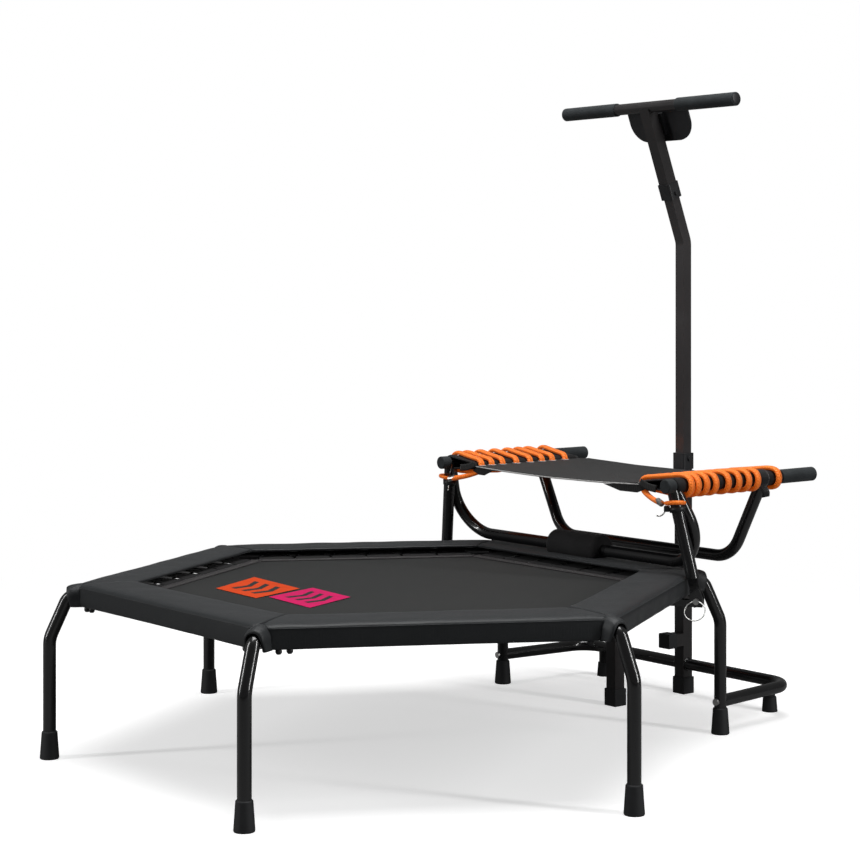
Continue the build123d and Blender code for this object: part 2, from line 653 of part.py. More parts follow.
# ---- step: bars, uprights and hoops -------------------------------------------------------------
bar_cut = rod((BAR_X, BAR_FRONT_Y - 20, BAR_Z), (BAR_X, BAR_REAR_Y + 20, BAR_Z), TUBE_D)
with BuildPart() as step_bar:
    with BuildSketch(Plane(origin=(BAR_X, BAR_FRONT_Y, BAR_Z), z_dir=(0, 1, 0))):
        Circle(TUBE_D / 2)
        Circle(TUBE_D / 2 - TUBE_WALL, mode=Mode.SUBTRACT)
    extrude(amount=BAR_REAR_Y - BAR_FRONT_Y)
with BuildPart() as step_grip:
    add(rod((BAR_X, STEP_GRIP_Y, BAR_Z), (BAR_X, STEP_GRIP_END, BAR_Z), STEP_GRIP_D))
    fillet(step_grip.edges().filter_by(GeomType.CIRCLE), 1.5)
    add(rod((BAR_X, BAR_FRONT_Y, BAR_Z), (BAR_X, BAR_REAR_Y, BAR_Z), TUBE_D), mode=Mode.SUBTRACT)
for side in SIDES:
    save(mirrored(step_bar.part, side), f"step_bar_{side}")
    save(mirrored(step_grip.part, side), f"step_grip_{side}")

pin_point = Vector(PIN_X, PIN_Y, PIN_Z)
lean = (Vector(*UPRIGHT_TOP) - pin_point).normalized()
upright_low = pin_point + lean * ((UPRIGHT_TUBE_Z - PIN_Z) / lean.Z)
upright_high = pin_point + lean * ((BAR_Z - PIN_Z) / lean.Z)
pin_axis = Vector(*RAIL_T)
pin_bore = rod(
    (pin_point - pin_axis * TONGUE_T),
    (pin_point + pin_axis * TONGUE_T),
    PIN_D + 2 * PIN_BORE_CLEAR,
)
upright_solid = rod(upright_low, upright_high, TUBE_D)
with BuildPart() as upright:
    with BuildSketch(Plane(origin=upright_low, z_dir=lean)):
        Circle(TUBE_D / 2)
        Circle(TUBE_D / 2 - TUBE_WALL, mode=Mode.SUBTRACT)
    extrude(amount=(upright_high - upright_low).length)
    with BuildSketch(Plane(origin=upright_low, z_dir=lean)):
        Circle(TUBE_D / 2)
    extrude(amount=3)
    tongue_foot = Plane(origin=pin_point - lean * (TONGUE_W * 0.6), x_dir=pin_axis, z_dir=lean)
    with BuildSketch(tongue_foot):
        Rectangle(TONGUE_T, TONGUE_W)
    extrude(amount=(upright_low - pin_point).length + TONGUE_W * 0.6 + 1)
    add(pin_bore, mode=Mode.SUBTRACT)
    add(bar_cut, mode=Mode.SUBTRACT)

with BuildPart() as bar_cap:
    add(rod((BAR_X, CAP_FRONT_Y, BAR_Z), (BAR_X, CAP_FRONT_Y + CAP_L, BAR_Z), CAP_D))
    fillet(bar_cap.edges().filter_by(GeomType.CIRCLE), 2)
    add(rod((BAR_X, BAR_FRONT_Y, BAR_Z), (BAR_X, BAR_REAR_Y, BAR_Z), TUBE_D), mode=Mode.SUBTRACT)
    add(upright_solid, mode=Mode.SUBTRACT)
with BuildPart() as step_bar_caps:
    add(bar_cap.part)
    add(mirror(bar_cap.part, about=Plane.YZ))
save(step_bar_caps.part, "step_bar_caps")

front_x, front_y = FRONT_HOOP_TOP
low_x, low_y, low_z = FRONT_HOOP_LOW
hoop_top_z = BAR_Z - TUBE_D / 2
front_route = [
    (-front_x, front_y, hoop_top_z),
    (-low_x, low_y, low_z),
    (low_x, low_y, low_z),
    (front_x, front_y, hoop_top_z),
]
with BuildPart() as front_hoop:
    add(bent_tube(front_route, FRONT_HOOP_BEND, TUBE_D, TUBE_WALL))
    for side in SIDES:
        add(mirrored(upright_solid, side), mode=Mode.SUBTRACT)
        add(mirrored(bar_cut, side), mode=Mode.SUBTRACT)
save(front_hoop.part, "front_hoop")

rear_x, rear_y = REAR_HOOP_TOP
rear_low_x, rear_low_y, rear_low_z = REAR_HOOP_LOW
rear_route = [
    (-rear_x, rear_y, BAR_Z - 4),
    (-rear_low_x, rear_low_y, rear_low_z),
    (rear_low_x, rear_low_y, rear_low_z),
    (rear_x, rear_y, BAR_Z - 4),
]
with BuildPart() as rear_hoop:
    add(bent_tube(rear_route, REAR_HOOP_BEND, TUBE_D, TUBE_WALL))
    for side in SIDES:
        add(mirrored(bar_cut, side), mode=Mode.SUBTRACT)
save(rear_hoop.part, "rear_hoop")
for side in SIDES:
    save(mirrored(upright.part, side), f"step_upright_{side}")

with BuildPart() as foam_roll:
    add(rod((-ROLL_HALF, low_y, low_z), (ROLL_HALF, low_y, low_z), ROLL_D))
    add(rod((-ROLL_HALF, low_y, low_z), (ROLL_HALF, low_y, low_z), TUBE_D), mode=Mode.SUBTRACT)
    with Locations((0, low_y, PAD_TOP + ROLL_FLAT_GAP - ROLL_D / 2)):
        Box(4 * ROLL_HALF, 2 * ROLL_D, ROLL_D, mode=Mode.SUBTRACT)
save(foam_roll.part, "foam_roll")

# ---- step mat, its rods, side covers and lacing ---------------------------------------------------
turn_in_x = ROD_X - COVER_ROD_R - CORD_D / 2 - CORD_CLEAR
turn_out_x = BAR_X + COVER_R + CORD_D / 2 + CORD_CLEAR
in_top_z = ROD_Z + COVER_ROD_R + CORD_D / 2 + CORD_CLEAR
in_low_z = ROD_Z - COVER_ROD_R - CORD_D / 2 - CORD_CLEAR
out_top_z = BAR_Z + COVER_R + CORD_D / 2 + CORD_CLEAR + 2.2
out_low_z = BAR_Z - COVER_R - CORD_D / 2 - CORD_CLEAR - 2.2


def lacing_points(side):
    """Corner points of one side's cord, from its free front end to its rear end."""
    outer = TURNS_Y[side]
    inner = [STEP_MAT_FRONT_Y + 11]
    for front, rear in zip(outer, outer[1:]):
        inner.append((front + rear) / 2)
    points = [TAIL]
    for y_in, y_out in zip(inner, outer):
        points.append((turn_in_x, y_in, in_low_z))
        points.append((turn_in_x, y_in, in_top_z))
        points.append((turn_out_x, y_out, out_top_z))
        points.append((turn_out_x, y_out, out_low_z))
    points.append((turn_in_x + 20, outer[-1] + 8, in_low_z - 2))
    return points, inner


with BuildPart() as step_mat:
    mat_len = STEP_MAT_REAR_Y - STEP_MAT_FRONT_Y
    with Locations((0, STEP_MAT_FRONT_Y + mat_len / 2, STEP_MAT_Z)):
        Box(2 * ROD_X, mat_len, STEP_MAT_T)
    for side, sign in SIDES.items():
        add(rod((sign * ROD_X, STEP_MAT_FRONT_Y, ROD_Z), (sign * ROD_X, ROD_REAR_Y, ROD_Z),
                2 * POCKET_R))
        for y_in in lacing_points(side)[1]:
            with Locations((sign * turn_in_x, y_in, STEP_MAT_Z)):
                Cylinder(CORD_D / 2 + CORD_CLEAR, 2 * STEP_MAT_T, mode=Mode.SUBTRACT)
    for sign in SIDES.values():
        add(
            rod((sign * ROD_X, ROD_FRONT_Y, ROD_Z), (sign * ROD_X, ROD_REAR_Y, ROD_Z), ROD_D),
            mode=Mode.SUBTRACT,
        )
save(step_mat.part, "step_mat")

with BuildPart() as mat_rods:
    for sign in SIDES.values():
        add(rod((sign * ROD_X, ROD_FRONT_Y, ROD_Z), (sign * ROD_X, ROD_REAR_Y, ROD_Z), ROD_D))
save(mat_rods.part, "mat_rods")

cover_len = COVER_REAR_Y - COVER_FRONT_Y
cover_plane = Plane(origin=(0, COVER_REAR_Y, 0), x_dir=(1, 0, 0), z_dir=(0, -1, 0))
with BuildPart() as cover:
    with BuildSketch(cover_plane):
        with Locations((BAR_X, BAR_Z)):
            Circle(COVER_R)
        with Locations((ROD_X, ROD_Z)):
            Circle(COVER_ROD_R)
        make_hull()
    extrude(amount=cover_len)
    add(bar_cut, mode=Mode.SUBTRACT)
    add(upright_solid, mode=Mode.SUBTRACT)
    add(rod((ROD_X, 0, ROD_Z), (ROD_X, 1000, ROD_Z), 2 * POCKET_R), mode=Mode.SUBTRACT)
    with Locations((ROD_X - 50, BASE_REAR_Y / 2, STEP_MAT_Z)):
        Box(100, BASE_REAR_Y * 2, STEP_MAT_T, mode=Mode.SUBTRACT)
    for route, bend in ((front_route, FRONT_HOOP_BEND), (rear_route, REAR_HOOP_BEND)):
        add(bent_tube(route, bend, TUBE_D, 0), mode=Mode.SUBTRACT)
for side in SIDES:
    save(mirrored(cover.part, side), f"step_cover_{side}")

for side in SIDES:
    points = lacing_points(side)[0]
    cord = bent_tube(points, CORD_BEND, CORD_D, 0)
    save(mirrored(cord, side), f"lacing_{side}")
with BuildPart() as lacing_crimps:
    run = (Vector(*points[1]) - Vector(*TAIL)).normalized()
    crimp_in = (Vector(*TAIL) - run * 2)
    crimp_out = (Vector(*TAIL) + run * CRIMP_L)
    crimp = rod(crimp_in, crimp_out, CORD_D + 3)
    bored = crimp - rod(TAIL, crimp_out, CORD_D)
    for side in SIDES:
        add(mirrored(bored, side))
save(lacing_crimps.part, "lacing_crimps")

# ---- rail brackets, lynch pins and rings ------------------------------------------------------------
ear_in = TONGUE_T / 2 + EAR_CLEAR
ear_out = ear_in + EAR_T
BRACKET_Z = PIN_Z - 12  # underside of the bracket


def bracket_plane(along):
    """Plane across the rail, some way forward of the pin; its normal points forward."""
    origin = rail_point(0, PIN_S + along, 0)
    return Plane(origin=origin, x_dir=RAIL_N, z_dir=RAIL_T)


ear_outline = [
    (RAIL_APOTHEM - 20, BRACKET_Z),
    (PIN_N + 11, BRACKET_Z),
    (PIN_N + 11, PIN_Z + 8),
    (PIN_N + 2, UPRIGHT_TUBE_Z - 14),
    (PIN_N - 15, UPRIGHT_TUBE_Z - 14),
    (PIN_N - 15, PAD_SKIRT_Z - 1.5),
    (PAD_OUTER - PAD_SKIRT_T - 4, PAD_SKIRT_Z - 1.5),
    (PAD_OUTER - PAD_SKIRT_T - 4, RIM_Z - 7),
    (RAIL_APOTHEM - 20, RIM_Z - 7),
]
with BuildPart() as rail_bracket:
    for along in (-ear_out, ear_in):
        with BuildSketch(bracket_plane(along)):
            with BuildLine():
                Polyline(*ear_outline, close=True)
            make_face()
        extrude(amount=EAR_T)
    with BuildSketch(bracket_plane(-ear_in)):
        with Locations((RAIL_APOTHEM + 10, BRACKET_Z + EAR_T / 2)):
            Rectangle(58, EAR_T)
    extrude(amount=2 * ear_in)
    rail_line = rod(
        rail_point(RAIL_APOTHEM, PIN_S - 50, RIM_Z),
        rail_point(RAIL_APOTHEM, PIN_S + 50, RIM_Z),
        TUBE_D,
    )
    add(rail_line, mode=Mode.SUBTRACT)
    ear_bore = rod(
        (pin_point - pin_axis * 2 * ear_out),
        (pin_point + pin_axis * 2 * ear_out),
        PIN_D + 2 * PIN_BORE_CLEAR,
    )
    add(ear_bore, mode=Mode.SUBTRACT)

head_start = pin_point + pin_axis * (ear_out + 0.7)
head_end = head_start + pin_axis * PIN_HEAD_L
ring_eye = head_start + pin_axis * (PIN_HEAD_L * 0.55)
ring_side = Vector(*RAIL_N)
with BuildPart() as lynch_pin:
    add(rod((pin_point - pin_axis * 16), head_start, PIN_D))
    chamfer(lynch_pin.edges().sort_by(Axis(head_start, -pin_axis))[-1], 1)
    add(rod(head_start, head_end, PIN_HEAD_D))
    add(
        rod(
            (ring_eye - ring_side * PIN_HEAD_D),
            (ring_eye + ring_side * PIN_HEAD_D),
            RING_HOLE_D,
        ),
        mode=Mode.SUBTRACT,
    )

drop = Vector(0, 0, -cos(radians(RING_TILT))) + pin_axis * sin(radians(RING_TILT))
ring_centre = ring_eye + drop * RING_R
with BuildPart() as pin_ring:
    with Locations(Plane(origin=ring_centre, x_dir=ring_side, z_dir=ring_side.cross(drop))):
        Torus(RING_R, RING_WIRE / 2)

for side in SIDES:
    save(mirrored(rail_bracket.part, side), f"rail_bracket_{side}")
    save(mirrored(lynch_pin.part, side), f"lynch_pin_{side}")
    save(mirrored(pin_ring.part, side), f"pin_ring_{side}")
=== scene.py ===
import bpy
import bmesh
import numpy as np
from math import cos, sin, tan, radians, pi
from mathutils import Vector, Matrix, noise


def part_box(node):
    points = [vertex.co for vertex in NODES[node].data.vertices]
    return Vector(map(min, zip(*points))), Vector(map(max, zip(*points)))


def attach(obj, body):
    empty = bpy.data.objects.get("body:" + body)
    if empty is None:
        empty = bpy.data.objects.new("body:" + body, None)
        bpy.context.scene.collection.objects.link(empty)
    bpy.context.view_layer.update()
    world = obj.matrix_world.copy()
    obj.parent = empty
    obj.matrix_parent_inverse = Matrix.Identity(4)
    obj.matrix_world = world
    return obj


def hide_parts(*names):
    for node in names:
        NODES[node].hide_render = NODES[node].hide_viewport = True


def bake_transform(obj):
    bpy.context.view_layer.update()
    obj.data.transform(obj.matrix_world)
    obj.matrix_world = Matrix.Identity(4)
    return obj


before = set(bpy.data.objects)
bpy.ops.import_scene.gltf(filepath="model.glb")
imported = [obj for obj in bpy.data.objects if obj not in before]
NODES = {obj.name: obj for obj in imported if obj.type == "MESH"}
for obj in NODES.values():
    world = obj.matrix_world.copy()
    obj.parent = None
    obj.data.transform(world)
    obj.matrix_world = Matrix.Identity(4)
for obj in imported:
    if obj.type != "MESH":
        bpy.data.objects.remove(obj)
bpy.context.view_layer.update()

# ---- sizes shared with the CAD, in metres ----
C30 = cos(radians(30))
T30 = tan(radians(30))
RIM_Z = 0.319
RAIL_APOTHEM = 0.6 * C30
TUBE_R = 0.0127
MAT_APOTHEM = 0.440
HEM_IN = 0.410
BAR_X, BAR_Z = 0.354, 0.5225
ROD_X, ROD_Z = 0.268, 0.520
SIDE_ANGLES = [30, 90, 150, 210, 270, 330]
CORNER_ANGLES = [0, 60, 120, 180, 240, 300]
SIDES = ((1, "right"), (-1, "left"))


def rot(angle):
    """Turn about Z by an angle in degrees."""
    a = radians(angle)
    return np.array([[cos(a), -sin(a), 0], [sin(a), cos(a), 0], [0, 0, 1]])


def belongs(obj, body="frame"):
    """Body of one piece."""
    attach(obj, body)


def placed(name, data):
    """A new object in the scene."""
    obj = bpy.data.objects.new(name, data)
    bpy.context.scene.collection.objects.link(obj)
    return obj


# ---- mesh helpers ----
def link(name, mesh, mat=None, smooth=True):
    obj = placed(name, mesh)
    if mat:
        mesh.materials.append(mat)
    if smooth:
        mesh.polygons.foreach_set("use_smooth", [True] * len(mesh.polygons))
    return obj


def make(name, verts, faces, mat=None, smooth=True, uv=None):
    mesh = bpy.data.meshes.new(name)
    mesh.from_pydata([tuple(v) for v in verts], [], [tuple(f) for f in faces])
    if uv is not None:
        layer = mesh.uv_layers.new(name="UVMap")
        idx = np.empty(len(mesh.loops), dtype=np.int32)
        mesh.loops.foreach_get("vertex_index", idx)
        layer.data.foreach_set("uv", np.asarray(uv, float)[idx].ravel())
    mesh.validate()
    mesh.update()
    return link(name, mesh, mat, smooth)


def fix_normals(obj):
    bm = bmesh.new()
    bm.from_mesh(obj.data)
    bmesh.ops.recalc_face_normals(bm, faces=bm.faces)
    bm.to_mesh(obj.data)
    bm.free()
    return obj


def ring_faces(rings, per, closed=False):
    """Quads between rings of `per` points that follow each other in the vertex list."""
    quads = []
    for i in range(rings if closed else rings - 1):
        a, b = i * per, (i + 1) % rings * per
        quads += [(a + j, a + (j + 1) % per, b + (j + 1) % per, b + j) for j in range(per)]
    return quads


def grid_faces(cols, rows, start=0):
    """Quads of a sheet of cols x rows cells whose points are listed column by column."""
    quads = []
    for i in range(cols):
        for j in range(rows):
            a = start + i * (rows + 1) + j
            quads.append((a, a + 1, a + rows + 2, a + rows + 1))
    return quads


def end_faces(rings, per):
    """The two faces that close the first and the last ring."""
    return [tuple(reversed(range(per))), tuple(range((rings - 1) * per, rings * per))]


def subdivide(obj):
    mod = obj.modifiers.new("Subdivision", "SUBSURF")
    mod.levels = 1
    mod.render_levels = 1


def thicken(obj, thickness):
    obj.modifiers.new("Thickness", "SOLIDIFY").thickness = thickness


def apply_modifiers(obj):
    graph = bpy.context.evaluated_depsgraph_get()
    mesh = bpy.data.meshes.new_from_object(obj.evaluated_get(graph))
    old = obj.data
    obj.modifiers.clear()
    obj.data = mesh
    bpy.data.meshes.remove(old)


def length_along(points):
    """Distance run from the first point to each of the points."""
    return np.concatenate([[0], np.cumsum(np.linalg.norm(np.diff(points, axis=0), axis=1))])


def frames_along(points):
    """Unit tangents and two normals along a line of points, turned as little as possible."""
    p = np.asarray(points, float)
    t = np.gradient(p, axis=0)
    t /= np.linalg.norm(t, axis=1)[:, None]
    up = np.array([0, 0, 1.0]) if abs(t[0][2]) < 0.9 else np.array([1.0, 0, 0])
    n = np.cross(t[0], np.cross(up, t[0]))
    n /= np.linalg.norm(n)
    normals = []
    for k in range(len(p)):
        n = n - t[k] * (n @ t[k])
        n /= np.linalg.norm(n)
        normals.append(n)
    normals = np.array(normals)
    return p, t, normals, np.cross(t, normals)


def sweep(name, points, profile, mat, closed=False):
    """Sweeps a closed 2-D profile along points; profile is (k, 2) or a function of the index."""
    p, t, n, b = frames_along(points)
    rings = []
    for i in range(len(p)):
        prof = np.asarray(profile(i) if callable(profile) else profile)
        rings.append(p[i] + prof[:, :1] * n[i] + prof[:, 1:] * b[i])
    rings = np.array(rings)
    count, k = rings.shape[:2]
    length = length_along(p)
    uv = np.array([[length[i], j / k] for i in range(count) for j in range(k)])
    faces = ring_faces(count, k, closed) + ([] if closed else end_faces(count, k))
    return fix_normals(make(name, rings.reshape(-1, 3), faces, mat, uv=uv))


def circle(radius, k=16):
    a = np.linspace(0, 2 * pi, k, endpoint=False)
    return np.stack([radius * np.cos(a), radius * np.sin(a)], 1)


def round_angles(k):
    """Angles of k points round a full turn."""
    return np.linspace(0, 2 * pi, k + 1)[:-1]


def smooth_line(points, step, closed=False):
    """Points about `step` apart on a smooth NURBS line led by the given points."""
    curve = bpy.data.curves.new("line", "CURVE")
    curve.dimensions = "3D"
    spline = curve.splines.new("NURBS")
    spline.points.add(len(points) - 1)
    for k, q in enumerate(points):
        spline.points[k].co = (*q, 1)
    spline.order_u = 3
    spline.use_endpoint_u = not closed
    spline.use_cyclic_u = closed
    spline.resolution_u = 24
    obj = bpy.data.objects.new("line", curve)
    mesh = bpy.data.meshes.new_from_object(obj)
    q = np.array([v.co for v in mesh.vertices])
    bpy.data.objects.remove(obj)
    bpy.data.curves.remove(curve)
    bpy.data.meshes.remove(mesh)
    if closed:
        q = np.vstack([q, q[:1]])
    run = length_along(q)
    count = max(4, int(round(run[-1] / step)))
    at = np.linspace(0, run[-1], count + 1)
    if closed:
        at = at[:-1]
    return np.stack([np.interp(at, run, q[:, i]) for i in range(3)], 1)


def tube(name, points, radius, mat, step=0.003, k=16, closed=False):
    return sweep(name, smooth_line(points, step, closed), circle(radius, k), mat, closed)


def lathe(name, profile, origin, axis, mat, k=32):
    """Turns (radius, height) pairs about an axis; the two ends are closed."""
    axis = Vector(axis).normalized()
    q = axis.to_track_quat("Z", "Y").to_matrix()
    verts = []
    for r, h in profile:
        for j in range(k):
            a = 2 * pi * j / k
            verts.append(Vector(origin) + q @ Vector((r * cos(a), r * sin(a), h)))
    count = len(profile)
    return fix_normals(make(name, verts, ring_faces(count, k) + end_faces(count, k), mat))


def block(name, centre, size, mat, matrix, bevel):
    """Box with rounded edges, turned by a 3 x 3 matrix."""
    bm = bmesh.new()
    bmesh.ops.create_cube(bm, size=1)
    bmesh.ops.scale(bm, vec=size, verts=bm.verts)
    bmesh.ops.bevel(bm, geom=bm.edges[:], offset=bevel, segments=3, profile=0.6, affect="EDGES")
    bmesh.ops.transform(bm, matrix=matrix.to_4x4(), verts=bm.verts)
    bmesh.ops.translate(bm, vec=centre, verts=bm.verts)
    mesh = bpy.data.meshes.new(name)
    bm.to_mesh(mesh)
    bm.free()
    return link(name, mesh, mat)


def join(name, objects):
    """One mesh object from several."""
    graph = bpy.context.evaluated_depsgraph_get()
    bm = bmesh.new()
    mats = []
    for o in objects:
        mesh = bpy.data.meshes.new_from_object(o.evaluated_get(graph))
        mesh.transform(o.matrix_world)
        index = {}
        for k, m in enumerate(mesh.materials):
            if m not in mats:
                mats.append(m)
            index[k] = mats.index(m)
        for poly in mesh.polygons:
            poly.material_index = index.get(poly.material_index, 0)
        bm.from_mesh(mesh)
        bpy.data.meshes.remove(mesh)
    mesh = bpy.data.meshes.new(name)
    bm.to_mesh(mesh)
    bm.free()
    for m in mats:
        mesh.materials.append(m)
    for o in objects:
        bpy.data.objects.remove(o)
    return placed(name, mesh)


def inflate(obj, pressure, cap, frames, stiffness):
    """Cloth under pressure, applied; no vertex ends further than cap from where it started."""
    start = np.array([v.co[:] for v in obj.data.vertices])
    mod = obj.modifiers.new("Cloth", "CLOTH")
    s = mod.settings
    s.quality = 4
    s.mass = 0.3
    s.use_pressure = True
    s.uniform_pressure_force = pressure
    s.tension_stiffness = stiffness
    s.compression_stiffness = stiffness
    s.shear_stiffness = stiffness * 0.4
    s.bending_stiffness = 0.6
    s.air_damping = 2.0
    s.effector_weights.gravity = 0
    mod.collision_settings.use_collision = False
    mod.collision_settings.use_self_collision = False
    mod.point_cache.frame_start = 1
    mod.point_cache.frame_end = frames
    for f in range(1, frames + 1):
        bpy.context.scene.frame_set(f)
    graph = bpy.context.evaluated_depsgraph_get()
    mesh = obj.evaluated_get(graph).to_mesh()
    end = np.array([v.co[:] for v in mesh.vertices])
    obj.modifiers.remove(mod)
    move = end - start
    far = np.linalg.norm(move, axis=1)[:, None]
    move *= np.minimum(1, cap / np.maximum(far, 1e-9))
    obj.data.vertices.foreach_set("co", (start + move).ravel())
    obj.data.update()
    bpy.context.scene.frame_set(1)


# ---- materials ----
TWO_THREADS = 0.155967  # a wave texture of scale TWO_THREADS / p has its bands about 2 p apart
BRAID_PITCH = 0.011  # length of cord in which two yarns pass


class Shade:
    """A procedural Principled material, built up a layer at a time."""

    def __init__(self, name, color, rough, **sockets):
        self.mat = bpy.data.materials.new(name)
        self.mat.use_nodes = True
        self.tree = self.mat.node_tree
        self.bsdf = self.tree.nodes["Principled BSDF"]
        self.color = (*color, 1)
        self.bsdf.inputs["Base Color"].default_value = self.color
        self.bsdf.inputs["Roughness"].default_value = rough
        for key, value in sockets.items():
            self.bsdf.inputs[key.replace("_", " ")].default_value = value
        self.coords = self.node("ShaderNodeTexCoord")
        self.height = None

    def node(self, kind, **values):
        n = self.tree.nodes.new(kind)
        for key, value in values.items():
            if key in n.inputs:
                n.inputs[key].default_value = value
            else:
                setattr(n, key, value)
        return n

    def wire(self, a, b):
        self.tree.links.new(a, b)

    def noise(self, scale, detail=3.0):
        n = self.node("ShaderNodeTexNoise", Scale=scale, Detail=detail, Roughness=0.55)
        self.wire(self.coords.outputs["Object"], n.inputs["Vector"])
        return n.outputs["Fac"]

    def wave(self, scale, direction):
        n = self.node("ShaderNodeTexWave", Scale=scale, wave_type="BANDS", bands_direction=direction,
                      wave_profile="SIN")
        self.wire(self.coords.outputs["Object"], n.inputs["Vector"])
        return n.outputs["Fac"]

    def math(self, op, *values):
        n = self.node("ShaderNodeMath", operation=op)
        for k, v in enumerate(values):
            if isinstance(v, (int, float)):
                n.inputs[k].default_value = v
            else:
                self.wire(v, n.inputs[k])
        return n.outputs[0]

    def span(self, value, low, high, from_low=0.0, from_high=1.0):
        n = self.node("ShaderNodeMapRange")
        self.wire(value, n.inputs["Value"])
        ends = {"From Min": from_low, "From Max": from_high, "To Min": low, "To Max": high}
        for key, v in ends.items():
            n.inputs[key].default_value = v
        return n.outputs["Result"]

    def tint(self, fac, color):
        """Mixes a colour over the base where fac is high."""
        n = self.node("ShaderNodeMix", data_type="RGBA")
        self.wire(fac, n.inputs[0])
        if self.bsdf.inputs["Base Color"].links:
            self.wire(self.bsdf.inputs["Base Color"].links[0].from_socket, n.inputs[6])
        else:
            n.inputs[6].default_value = self.color
        n.inputs[7].default_value = (*color, 1)
        self.wire(n.outputs[2], self.bsdf.inputs["Base Color"])

    def roughness(self, fac, low, high):
        self.wire(self.span(fac, low, high), self.bsdf.inputs["Roughness"])

    def bump(self, height, distance, strength=1.0):
        b = self.node("ShaderNodeBump", Strength=strength, Distance=distance)
        self.wire(height, b.inputs["Height"])
        if self.height:
            self.wire(self.height, b.inputs["Normal"])
        self.height = b.outputs["Normal"]
        self.wire(self.height, self.bsdf.inputs["Normal"])

    def weave(self, pitch, depth):
        """Plain weave of threads `pitch` apart; returns the thread height."""
        scale = TWO_THREADS / pitch
        warp, weft = self.wave(scale, "X"), self.wave(scale, "Y")
        high = self.math("MAXIMUM", self.math("MULTIPLY", warp, 0.8), weft)
        self.bump(high, depth)
        return high


def paint(name, color, rough, coat):
    s = Shade(name, color, rough, Coat_Weight=coat, Coat_Roughness=0.06, Specular_IOR_Level=0.5)
    fine = s.noise(420.0, 2.0)
    broad = s.noise(9.0, 3.0)
    s.bump(fine, 0.00006, 0.5)
    s.roughness(broad, rough * 0.75, rough * 1.35)
    s.tint(s.span(broad, 0.0, 0.35, 0.45, 0.75), [c * 1.6 + 0.001 for c in color])
    geo = s.node("ShaderNodeNewGeometry")
    # lighter grey on sharp convex edges: a painted highlight
    edge_highlight = s.span(geo.outputs["Pointiness"], 0.0, 0.3, 0.58, 0.72)
    s.tint(edge_highlight, (0.05, 0.05, 0.052))
    return s.mat


def moulded(name, color, rough, grain=900.0, depth=0.00008):
    s = Shade(name, color, rough, Specular_IOR_Level=0.45)
    s.bump(s.noise(grain, 2.0), depth)
    mottled = s.noise(35.0, 4.0)
    s.roughness(mottled, rough - 0.08, min(1.0, rough + 0.1))
    s.tint(s.span(mottled, 0.0, 0.5, 0.4, 0.8), [c * 1.8 + 0.003 for c in color])
    return s.mat


def foam(name, color):
    s = Shade(name, color, 0.85, Sheen_Weight=0.08, Sheen_Roughness=0.5, Specular_IOR_Level=0.25)
    cells = s.node("ShaderNodeTexVoronoi", Scale=620.0)
    s.wire(s.coords.outputs["Object"], cells.inputs["Vector"])
    s.bump(cells.outputs["Distance"], 0.00022, 0.8)
    s.bump(s.noise(60.0, 4.0), 0.0006, 0.4)
    s.tint(s.span(s.noise(24.0), 0.0, 0.6, 0.4, 0.8), [c * 1.9 + 0.004 for c in color])
    return s.mat


def metal(name, color, rough):
    s = Shade(name, color, rough, Metallic=1.0)
    s.roughness(s.noise(180.0, 5.0), rough * 0.7, rough * 1.6)
    s.bump(s.noise(900.0, 2.0), 0.00004, 0.6)
    s.tint(s.span(s.noise(55.0, 5.0), 0.0, 0.6, 0.5, 0.8), [c * 0.62 for c in color])
    return s.mat


GLOSS = paint("gloss_black_paint", (0.0045, 0.0045, 0.0050), 0.24, 0.8)
SATIN = paint("satin_black_paint", (0.0170, 0.0150, 0.0152), 0.34, 0.25)
# the satin paint made lighter for the mast: painted light on it, the same paint as the posts
LIT_MAST_PAINT = paint("satin_black_mast_lit", (0.0330, 0.0292, 0.0298), 0.34, 0.25)
ZINC = metal("zinc_plate", (0.66, 0.66, 0.64), 0.28)
RUBBER = moulded("moulded_rubber", (0.013, 0.014, 0.0155), 0.62, 500.0, 0.00016)
PLASTIC = moulded("moulded_plastic", (0.014, 0.0145, 0.016), 0.42)
GRIP = foam("grip_foam", (0.018, 0.0215, 0.0235))
ROLL = foam("roll_foam", (0.0075, 0.0072, 0.0078))


def vinyl(name, color):
    s = Shade(name, color, 0.55, Sheen_Weight=0.08, Sheen_Roughness=0.45, Specular_IOR_Level=0.40)
    s.weave(0.0011, 0.00012)
    s.bump(s.noise(38.0, 5.0), 0.0010, 0.35)
    s.bump(s.noise(7.0, 3.0), 0.004, 0.25)
    s.roughness(s.noise(14.0, 5.0), 0.38, 0.62)
    s.tint(s.span(s.noise(5.0, 4.0), 0.0, 0.4, 0.4, 0.75), [c * 1.35 for c in color])
    return s.mat


def cloth(name, color, pitch, depth, light=1.8, rough=0.8, sheen=0.1):
    """Woven cloth; the tops of its threads are `light` times as bright as the rest, a painted highlight on
    the thread crowns.
    """
    s = Shade(name, color, rough, Sheen_Weight=sheen, Sheen_Roughness=0.4, Specular_IOR_Level=0.3)
    high = s.weave(pitch, depth)
    # thread crowns painted lighter: painted highlight on the crowns, painted shade between them
    s.tint(s.span(high, 0.0, 0.7, 0.5, 1.0), [c * light for c in color])
    s.tint(s.span(s.noise(30.0, 5.0), 0.0, 0.35, 0.45, 0.8), [c * 0.55 for c in color])
    return s.mat


